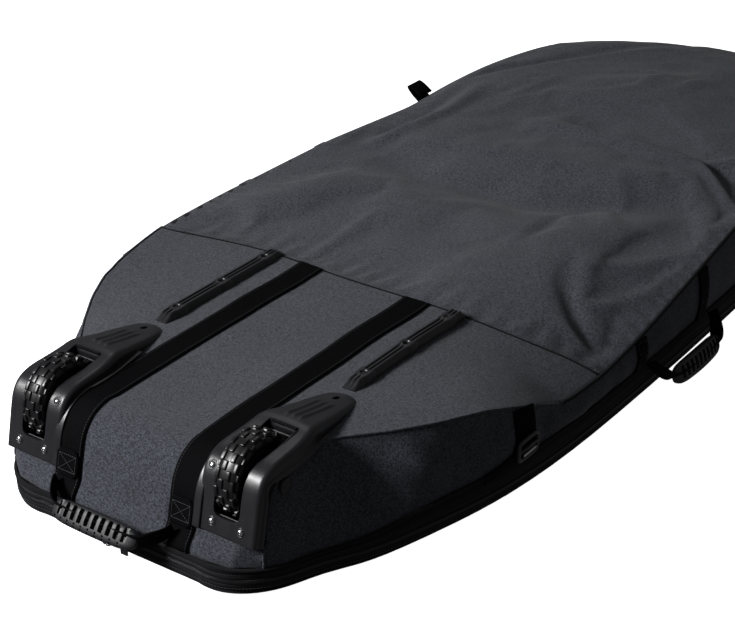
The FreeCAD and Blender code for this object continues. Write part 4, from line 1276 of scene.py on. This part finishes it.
def housing_base(side, name):
    """Flange that the fairing stands on, stepped out from its sides."""
    s = np.linspace(118.0, 257.0, 50)
    half = (HOUSING_HALF(s) + 4.0) * np.sqrt(np.clip((258.0 - s) / 10.0, 0.25, 1.0))
    ring = np.array([(1.0, -5.0), (1.0, -1.4), (0.97, 0.0), (-0.97, 0.0), (-1.0, -1.4), (-1.0, -5.0)])
    across = side * ((WHEEL_Y + housing_shift(side, s))[:, None] + half[:, None] * ring[:, 0])
    top = np.interp(s, [60.0, 120.0], [138.0, 148.0])
    grid = points_of(s[:, None], across, top[:, None] + ring[:, 1])
    title = name + "_housing_flange"
    piece = add_mesh(title, grid, tube_faces(*grid.shape[:2]), "satin_plastic", "shell")
    bevel(piece, 0.6, 2, 40.0)


def inner_flange(side, name):
    """Moulded lip that runs down the housing's inner side, on the cloth."""
    p = np.concatenate([np.linspace(0.765, 1, 24), np.linspace(1, 2, 20)[1:], np.linspace(2, 2.5, 8)[1:]])
    s = on_tail(p, np.full(len(p), side * (WHEEL_Y - PLATE_HALF)), 0.0)[:, 0]
    inner = WHEEL_Y + housing_shift(side, s) - HOUSING_HALF(s)
    grid = on_tail(p[:, None], side * (inner[:, None] + np.linspace(-6.5, 4.0, 6)), 3.4)
    piece = add_grid(name + "_inner_flange", grid, "satin_plastic", "shell", thick=3.2)
    bevel(piece, 0.9, 2, 50.0)


def wheel_well(side, name):
    """Curved wall round the wheel's back and foot, and two side plates."""
    angles = np.radians(np.linspace(-142.0, 30.0, 60))[:, None]
    across = side * (WHEEL_Y + np.linspace(-WELL_HALF, WELL_HALF, 9))
    grid = points_of(WHEEL_S + WELL_REACH * np.cos(angles), across, WHEEL_Z + WELL_REACH * np.sin(angles))
    add_grid(name + "_wheel_well", grid, "hub_plastic", "shell", thick=1.6)
    path = smooth_path(HOUSING_PATH, 5.0)
    path = path[path[:, 0] < 112.0]
    inner = path - path_normal(path) * 4.2
    outline = np.vstack([inner, [[114.0, 150.0], [112.0, 72.0], [4.0, 72.0]]])
    batch = Batch()
    for c in (-WELL_HALF, WELL_HALF):
        faces_y = side * (WHEEL_Y + c + np.copysign([[0.0], [1.4]], c))
        batch.add(points_of(outline[:, 0], faces_y, outline[:, 1]), tube_faces(2, len(outline)))
    batch.piece(name + "_well_sides", "hub_plastic", "shell", sharp=40)


SCRAPER_PATH = [(114.5, 169.0), (111.5, 163.0), (112.5, 155.0), (115.0, 145.0), (117.5, 132.0),
                (117.5, 120.0)]


def scraper(side, name):
    """Toothed lip behind the wheel."""
    curve = smooth_path(SCRAPER_PATH, 1.6)
    middle = WHEEL_Y + (6.0 if side < 0 else 0.0)
    grid = points_of(curve[:, :1], side * (middle + np.linspace(-20.0, 20.0, 7)), curve[:, 1:])
    add_grid(name + "_scraper", grid, "tyre", "shell", thick=1.4)
    batch = Batch()
    for c in np.linspace(-17.0, 17.0, 11):
        batch.add(*solid_box((111.5, side * (middle + c), 169.6), (4.4, 1.9, 2.8)))
    bevel(batch.piece(name + "_scraper_teeth", "tyre", "shell"), 0.5, 2, 30.0)


# ------------------------------------------------------------ wheels
LUGS = 15
TREAD = [
    # middle of the block across the tyre, width, foot and top radius, phase, share of the pitch
    (-3.9, 6.6, 49.5, 54.0, 0.0, 0.6),
    (3.9, 6.6, 49.5, 54.0, 0.5, 0.6),
    (-11.2, 5.6, 46.0, 53.0, 0.5, 0.64),
    (11.2, 5.6, 46.0, 53.0, 0.0, 0.64),
    (-14.6, 3.6, 41.0, 49.0, 0.0, 0.44),
    (14.6, 3.6, 41.0, 49.0, 0.5, 0.44),
]
HALF_TYRE = [(34.2, 13.0), (36.0, 15.4), (41.0, 16.2), (46.0, 15.0), (49.4, 12.0), (51.4, 7.5), (52.0, 0.0)]
BLOCK_TAPER = 0.82


def tread_block(middle, width, foot, top, start, span, side):
    """Tread block between two radii, curved round the wheel and narrower at its top."""
    points = []
    for radius, share in ((foot, 1.0), (top, BLOCK_TAPER)):
        for angle in start + np.linspace(-0.5, 0.5, 4) * span * share:
            for c in (-0.5, 0.5):
                across = side * (WHEEL_Y + middle + c * width * share)
                up = WHEEL_Z + radius * math.sin(angle)
                points.append((WHEEL_S + radius * math.cos(angle), across, up))
    faces = [(0, 1, 9, 8), (6, 14, 15, 7)]
    for a in (0, 2, 4):
        faces += [(a, a + 2, a + 3, a + 1), (8 + a, 9 + a, 11 + a, 10 + a), (a, 8 + a, 10 + a, a + 2),
                  (a + 1, a + 3, a + 11, a + 9)]
    return points, faces


def wheel(side, name):
    body = name + "_wheel"
    profile = [(radius, -height) for radius, height in HALF_TYRE] + HALF_TYRE[-2::-1]
    tyre = lathe(profile, (WHEEL_S, side * WHEEL_Y, WHEEL_Z), (0, 1, 0), 96, ring=True)
    add_mesh(name + "_tyre_body", *tyre, "tyre", body, (name + "_tyre",))
    blocks = Batch()
    pitch = 2 * math.pi / LUGS
    for index in range(LUGS):
        for middle, width, foot, top, phase, share in TREAD:
            blocks.add(*tread_block(middle, width, foot, top, (index + phase) * pitch, pitch * share, side))
    bevel(blocks.piece(name + "_tread", "tyre", body), 0.8, 3, 25.0)


# ------------------------------------------------------------ skid rails
RAIL_SCREWS_S = (278.0, 370.0, 462.0)


def rail_section(s, height, groove, half):
    """Half of the rail's section from its foot to the middle, as (across, up)."""
    crest = half - 2.6
    return [(half + 1.6, -1.0 + 0 * s), (half, height * 0.75), (crest + 1.0, height - 0.5), (crest, height),
            (4.6 + 0 * s, height), (4.1 + 0 * s, height - groove), (1.5 + 0 * s, height - groove),
            (1.0 + 0 * s, height)]


def rail(side, name):
    """Skid rail with two grooves, three countersunk bosses and sloped ends."""
    top_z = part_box(name + "_skid_rail")[1].z / MM
    s = np.concatenate([np.linspace(246.0, 262.0, 9), np.arange(265.0, 482.0, 3.0),
                        np.linspace(483.0, 492.0, 6)])
    foot = crown(s, tail_v(np.clip((487.0 - s) / 417.0, 0, 1), side * WHEEL_Y)) - 1.5
    end = np.minimum(smoothstep(244.0, 262.0, s), smoothstep(495.0, 483.0, s))
    boss = sum(bell(s - x, 8.0, 6) for x in RAIL_SCREWS_S)
    height = 3.5 + (np.minimum(foot + 13.0, top_z) - foot - 3.5) * end
    cols = rail_section(s, height, 1.7 * (1 - boss) * end, 9.0 + 1.6 * boss)
    cols += [(-c, h) for c, h in reversed(cols)]
    grid = np.stack([np.stack([s, side * WHEEL_Y + c, foot + h], axis=1) for c, h in cols], axis=1)
    piece = add_mesh(name + "_rail", grid, tube_faces(*grid.shape[:2]), "satin_plastic")
    tool = Batch()
    countersink = [(4.2, -4.2), (4.4, -1.6), (6.2, 1.5), (6.3, 6.0)]
    for x in RAIL_SCREWS_S:
        tool.add(*lathe(countersink, (x, side * WHEEL_Y, top_z), (0, 0, 1), 24))
    cut(piece, tool.all_points(), tool.faces)
    bevel(piece, 0.5, 1, 35.0)
    attach(piece, "shell", (name + "_skid_rail",))


# ------------------------------------------------------------ carrying handles
HANDLES = {
    # hinge point (s, y, z), reach, droop, tilt of the grip, name of its CAD nodes
    "tail": ((-10.0, 8.0, 62.0), 32.0, 22.0, 58.0, "tail_handle"),
    "near": ((748.0, -353.0, 64.0), 34.0, 52.0, 66.0, "near_side_handle"),
    "far": ((748.0, 353.0, 64.0), 34.0, 52.0, 66.0, "far_side_handle"),
}
GRIP_SLOTS = 10
GRIP_PITCH = 11.2


def handle_place(points, kind):
    """Handle coordinates (out, along, up) to bag coordinates."""
    (s, y, z), _, droop, _, _ = HANDLES[kind]
    out, along, up = np.moveaxis(np.asarray(points, float), -1, 0)
    angle = math.radians(droop)
    reach = out * math.cos(angle) + up * math.sin(angle)
    height = z - out * math.sin(angle) + up * math.cos(angle)
    if kind == "tail":
        return np.stack([s - reach, y + along, height], axis=-1)
    return np.stack([s - along, y + math.copysign(1.0, y) * reach, height], axis=-1)


def grip_place(points, kind):
    """Grip coordinates to bag coordinates: the grip is tilted about its own length on its webbing."""
    reach, tilt = HANDLES[kind][1], math.radians(HANDLES[kind][3])
    out, along, up = np.moveaxis(np.asarray(points, float), -1, 0)
    turned_out = reach + out * math.cos(tilt) - up * math.sin(tilt)
    turned_up = out * math.sin(tilt) + up * math.cos(tilt)
    return handle_place(np.stack([turned_out, along, turned_up], axis=-1), kind)


def grip_shape():
    """Moulded grip, thicker in the middle, as points (out, along, up) about its own middle."""
    along = np.concatenate([np.linspace(-65, -58, 5), np.linspace(-55, 55, 45), np.linspace(58, 65, 5)])
    along = along[:, None]
    end = np.sqrt(np.clip(1.0 - (np.abs(along) / 66.5) ** 8, 0.02, 1.0))
    swell = np.cos(along / 65.0 * math.pi / 2)
    bow = 3.0 * (1 - (along / 65.0) ** 2)
    c, d = (np.sign(x) * np.abs(x) ** 0.6 for x in (np.cos(turns(28)), np.sin(turns(28))))
    grid = points_of(bow + (7.4 + 1.2 * swell) * end * c, along, (13.6 + 1.4 * swell) * end * d)
    return grid.reshape(-1, 3), tube_faces(*grid.shape[:2])


def handle_grip(kind):
    node = HANDLES[kind][4]
    points, faces = grip_shape()
    tool = Batch()
    for index in range(GRIP_SLOTS):
        along = (index - (GRIP_SLOTS - 1) / 2) * GRIP_PITCH
        tool.add(*solid_box((12.5, along, 3.4), (15.0, 6.4, 18.0)))
        for up in (-8.2, -12.0):
            tool.add(*lathe([(1.4, -2.0), (1.4, 6.0)], (6.0, along + GRIP_PITCH / 2, up), (1, 0, 0), 10))
    piece = add_mesh(node + "_moulding", grip_place(points, kind), faces, "grip_rubber")
    cut(piece, grip_place(tool.all_points(), kind), tool.faces)
    bevel(piece, 0.8, 2, 38.0)
    attach(piece, kind + "_handle", (node + "_grip",))


def handle_webbing(kind):
    """Webbing that leaves the shell at two sewn ends and runs through the grip."""
    hinge, reach, _, _, node = HANDLES[kind]
    half = [(-3.0, 92.0), (4.0, 90.0), (reach * 0.55, 80.0), (reach - 2.0, 68.0), (reach + 1.0, 54.0)]
    path = [(out, -along) for out, along in half] + [(reach + 2.0, 0.0)] + half[::-1]
    path = smooth_path(path, 4.0)
    twist = 1.0 - 0.25 * smoothstep(75.0, 92.0, np.abs(path[:, 1:]))
    grid = handle_place(points_of(path[:, :1], path[:, 1:], np.linspace(-11.5, 11.5, 7) * twist), kind)
    piece = web_strip(node + "_strap", grid, None, replaces=(node + "_webbing",))
    start = to_model(np.array(hinge))
    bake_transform(piece)


# ------------------------------------------------------------ small parts
# Across the plate from the wheel's middle (outwards), and height
HOUSING_SCREWS = [(-17.5, 85.0), (24.5, 85.0), (-28.0, 149.0)]
SCREW_HEAD = [(4.0, -0.5), (4.1, 0.7), (3.7, 1.5), (2.7, 2.2), (1.5, 2.55), (1.3, 1.5), (0.2, 1.4)]
SCREW_RIM = [(6.4, -0.3), (6.2, 0.15), (5.6, 0.35), (5.0, 0.2), (4.5, -0.3)]


def housing_screws():
    """Three bright pan-head screws in each plate, set in small dimples, with a round recess."""
    path = smooth_path(HOUSING_PATH, 2.0)
    heads, rims = Batch(), Batch()
    for side, _ in SIDES:
        for across, z in HOUSING_SCREWS:
            k = int(np.argmin(np.abs(path[:60, 1] - z)))
            along = unit(path[k + 1] - path[k - 1])
            out = np.array([-along[1], 0.0, along[0]])
            shift = 0.0 if side < 0 else -2.5
            spot = np.array([path[k, 0], side * (WHEEL_Y + across + shift), path[k, 1]])
            heads.add(*lathe(SCREW_HEAD, spot, out, 24))
            rims.add(*lathe(SCREW_RIM, spot, out, 24))
    heads.piece("plate_screws", "steel", "shell", ("housing_screws",), sharp=35)
    rims.piece("plate_screw_rims", "satin_plastic", "shell")


def tie_downs():
    """Webbing straps with buckles inside, under the long panel."""
    straps, frames = [], Batch()
    y = np.linspace(-240.0, 240.0, 90)
    for middle in (690.0, 1130.0):
        s_grid, y_grid = np.meshgrid(middle + np.linspace(-19.0, 19.0, 7), y, indexing="xy")
        z = crown(s_grid, y_grid / half_top(s_grid, y_grid)) + folds(s_grid, y_grid) - 16.0
        straps.append(np.stack([s_grid, y_grid, z], axis=2))
        centre = np.array([middle, 0.0, z[len(y) // 2, 3] - 4.0])
        square = centre + 24.0 * np.array([(-1, -1, 0), (1, -1, 0), (1, 1, 0), (-1, 1, 0)])
        frames.add(*swept(square, round_section(2.6, 8), closed=True))
        bar = centre + 24.0 * np.array([(-1, 0, 0), (0, 0, 0), (1, 0, 0)])
        frames.add(*swept(bar, round_section(2.2, 8)))
    web_strip("tie_down_tail", straps[0], "shell", replaces=("tie_down_straps",))
    web_strip("tie_down_nose", straps[1], "shell")
    frames.piece("tie_down_frames", "satin_plastic", "shell", ("tie_down_buckles",))


CAP_ROOT = 188.0
CAP_DOME = [(10.4, 1.6), (9.8, 2.8), (8.0, 3.8), (5.0, 4.6), (1.0, 5.0)]


def axle_caps():
    """Domed cap over each axle end, with rings of small raised dots."""
    caps = Batch()
    for side, _ in SIDES:
        reach = abs(wall_point(side, WHEEL_S, WHEEL_Z)[1]) - CAP_ROOT
        low = np.array([WHEEL_S, side * CAP_ROOT, WHEEL_Z])
        dome = [(10.4, 0.0)] + [(radius, reach + height) for radius, height in CAP_DOME]
        caps.add(*lathe(dome, low, (0.0, side, 0.0), 40))
        for radius, count in ((7.0, 12), (3.8, 7), (0.01, 1)):
            for turn in turns(count):
                rise = reach + 4.9 - radius * radius / 60.0
                spot = low + np.array([radius * math.cos(turn), side * rise, radius * math.sin(turn)])
                caps.add(*lathe([(1.0, -0.8), (1.0, 0.3), (0.6, 0.75)], spot, (0.0, side, 0.0), 8))
    caps.piece("axle_end_caps", "satin_plastic", "shell", ("axle_caps",), sharp=40)


def cad_materials():
    """Every CAD node that stays takes its slot's material."""
    slots = {row["node"]: row["material_slot"] for row in frame["record"]["subparts"]}
    for name, item in NODES.items():
        item.data.materials.clear()
        item.data.materials.append(MATERIAL[slots[name]])
        item.data.shade_smooth()
        item.data.set_sharp_from_angle(angle=math.radians(32.0))


# ------------------------------------------------------------ stage
def put_in_scene(name, data, place=(0.0, 0.0, 0.0)):
    item = bpy.data.objects.new(name, data)
    bpy.context.scene.collection.objects.link(item)
    item.location = place
    return item


def area_light(name, place, target, size, power):
    lamp = bpy.data.lights.new(name, "AREA")
    lamp.shape = "DISK"
    lamp.size = size
    lamp.energy = power
    item = put_in_scene(name, lamp, place)
    direction = Vector(target) - Vector(place)
    item.rotation_euler = direction.to_track_quat("-Z", "Y").to_euler()


def white_floor():
    """Floor as bright as the photo's background, which lights nothing."""
    mesh = bpy.data.meshes.new("floor")
    reach, z = 30.0, -0.001
    mesh.from_pydata([(-reach, -reach, z), (reach, -reach, z), (reach, reach, z), (-reach, reach, z)], [],
                     [(0, 1, 2, 3)])
    floor = put_in_scene("floor", mesh)
    n = Nodes("floor", (0.9, 0.9, 0.9), 0.9, Emission_Strength=1.0, Emission_Color=(1.0, 1.0, 1.0, 1.0))
    mesh.materials.append(n.material)
    floor.visible_diffuse = False
    floor.visible_glossy = False


def stage():
    white_floor()
    world = bpy.data.worlds.new("studio")
    bpy.context.scene.world = world
    world.use_nodes = True
    background = world.node_tree.nodes["Background"]
    background.inputs["Color"].default_value = (1.0, 1.0, 1.0, 1.0)
    background.inputs["Strength"].default_value = 0.11
    tail = (TAIL_X + 0.1, 0.0, 0.1)
    area_light("key", (tail[0] - 1.85, 1.36, 1.78), tail, 0.8, 132.0)
    area_light("top", (1.2, 1.4, 2.6), (0.5, 0.1, 0.1), 1.2, 5.0)
    camera = bpy.data.cameras.new("camera")
    camera.lens = 89.8
    camera.sensor_width = 36.0
    item = put_in_scene("camera", camera, (TAIL_X - 1.3034, -1.2835, 1.2633))
    item.rotation_euler = (math.radians(62.08), 0.0, math.radians(-54.5))
    bpy.context.scene.camera = item
    bpy.context.scene.view_settings.view_transform = "Standard"


cad_materials()
main_panel()
tail_panel()
side_wall()
base_bands()
lid()
seams()
tail_straps()
handle_tabs()
side_straps()
loop_tab()
for side, name in SIDES:
    housing(side, name)
    wheel(side, name)
    rail(side, name)
for kind in HANDLES:
    handle_webbing(kind)
    handle_grip(kind)
axle_caps()
housing_screws()
tie_downs()
stage()
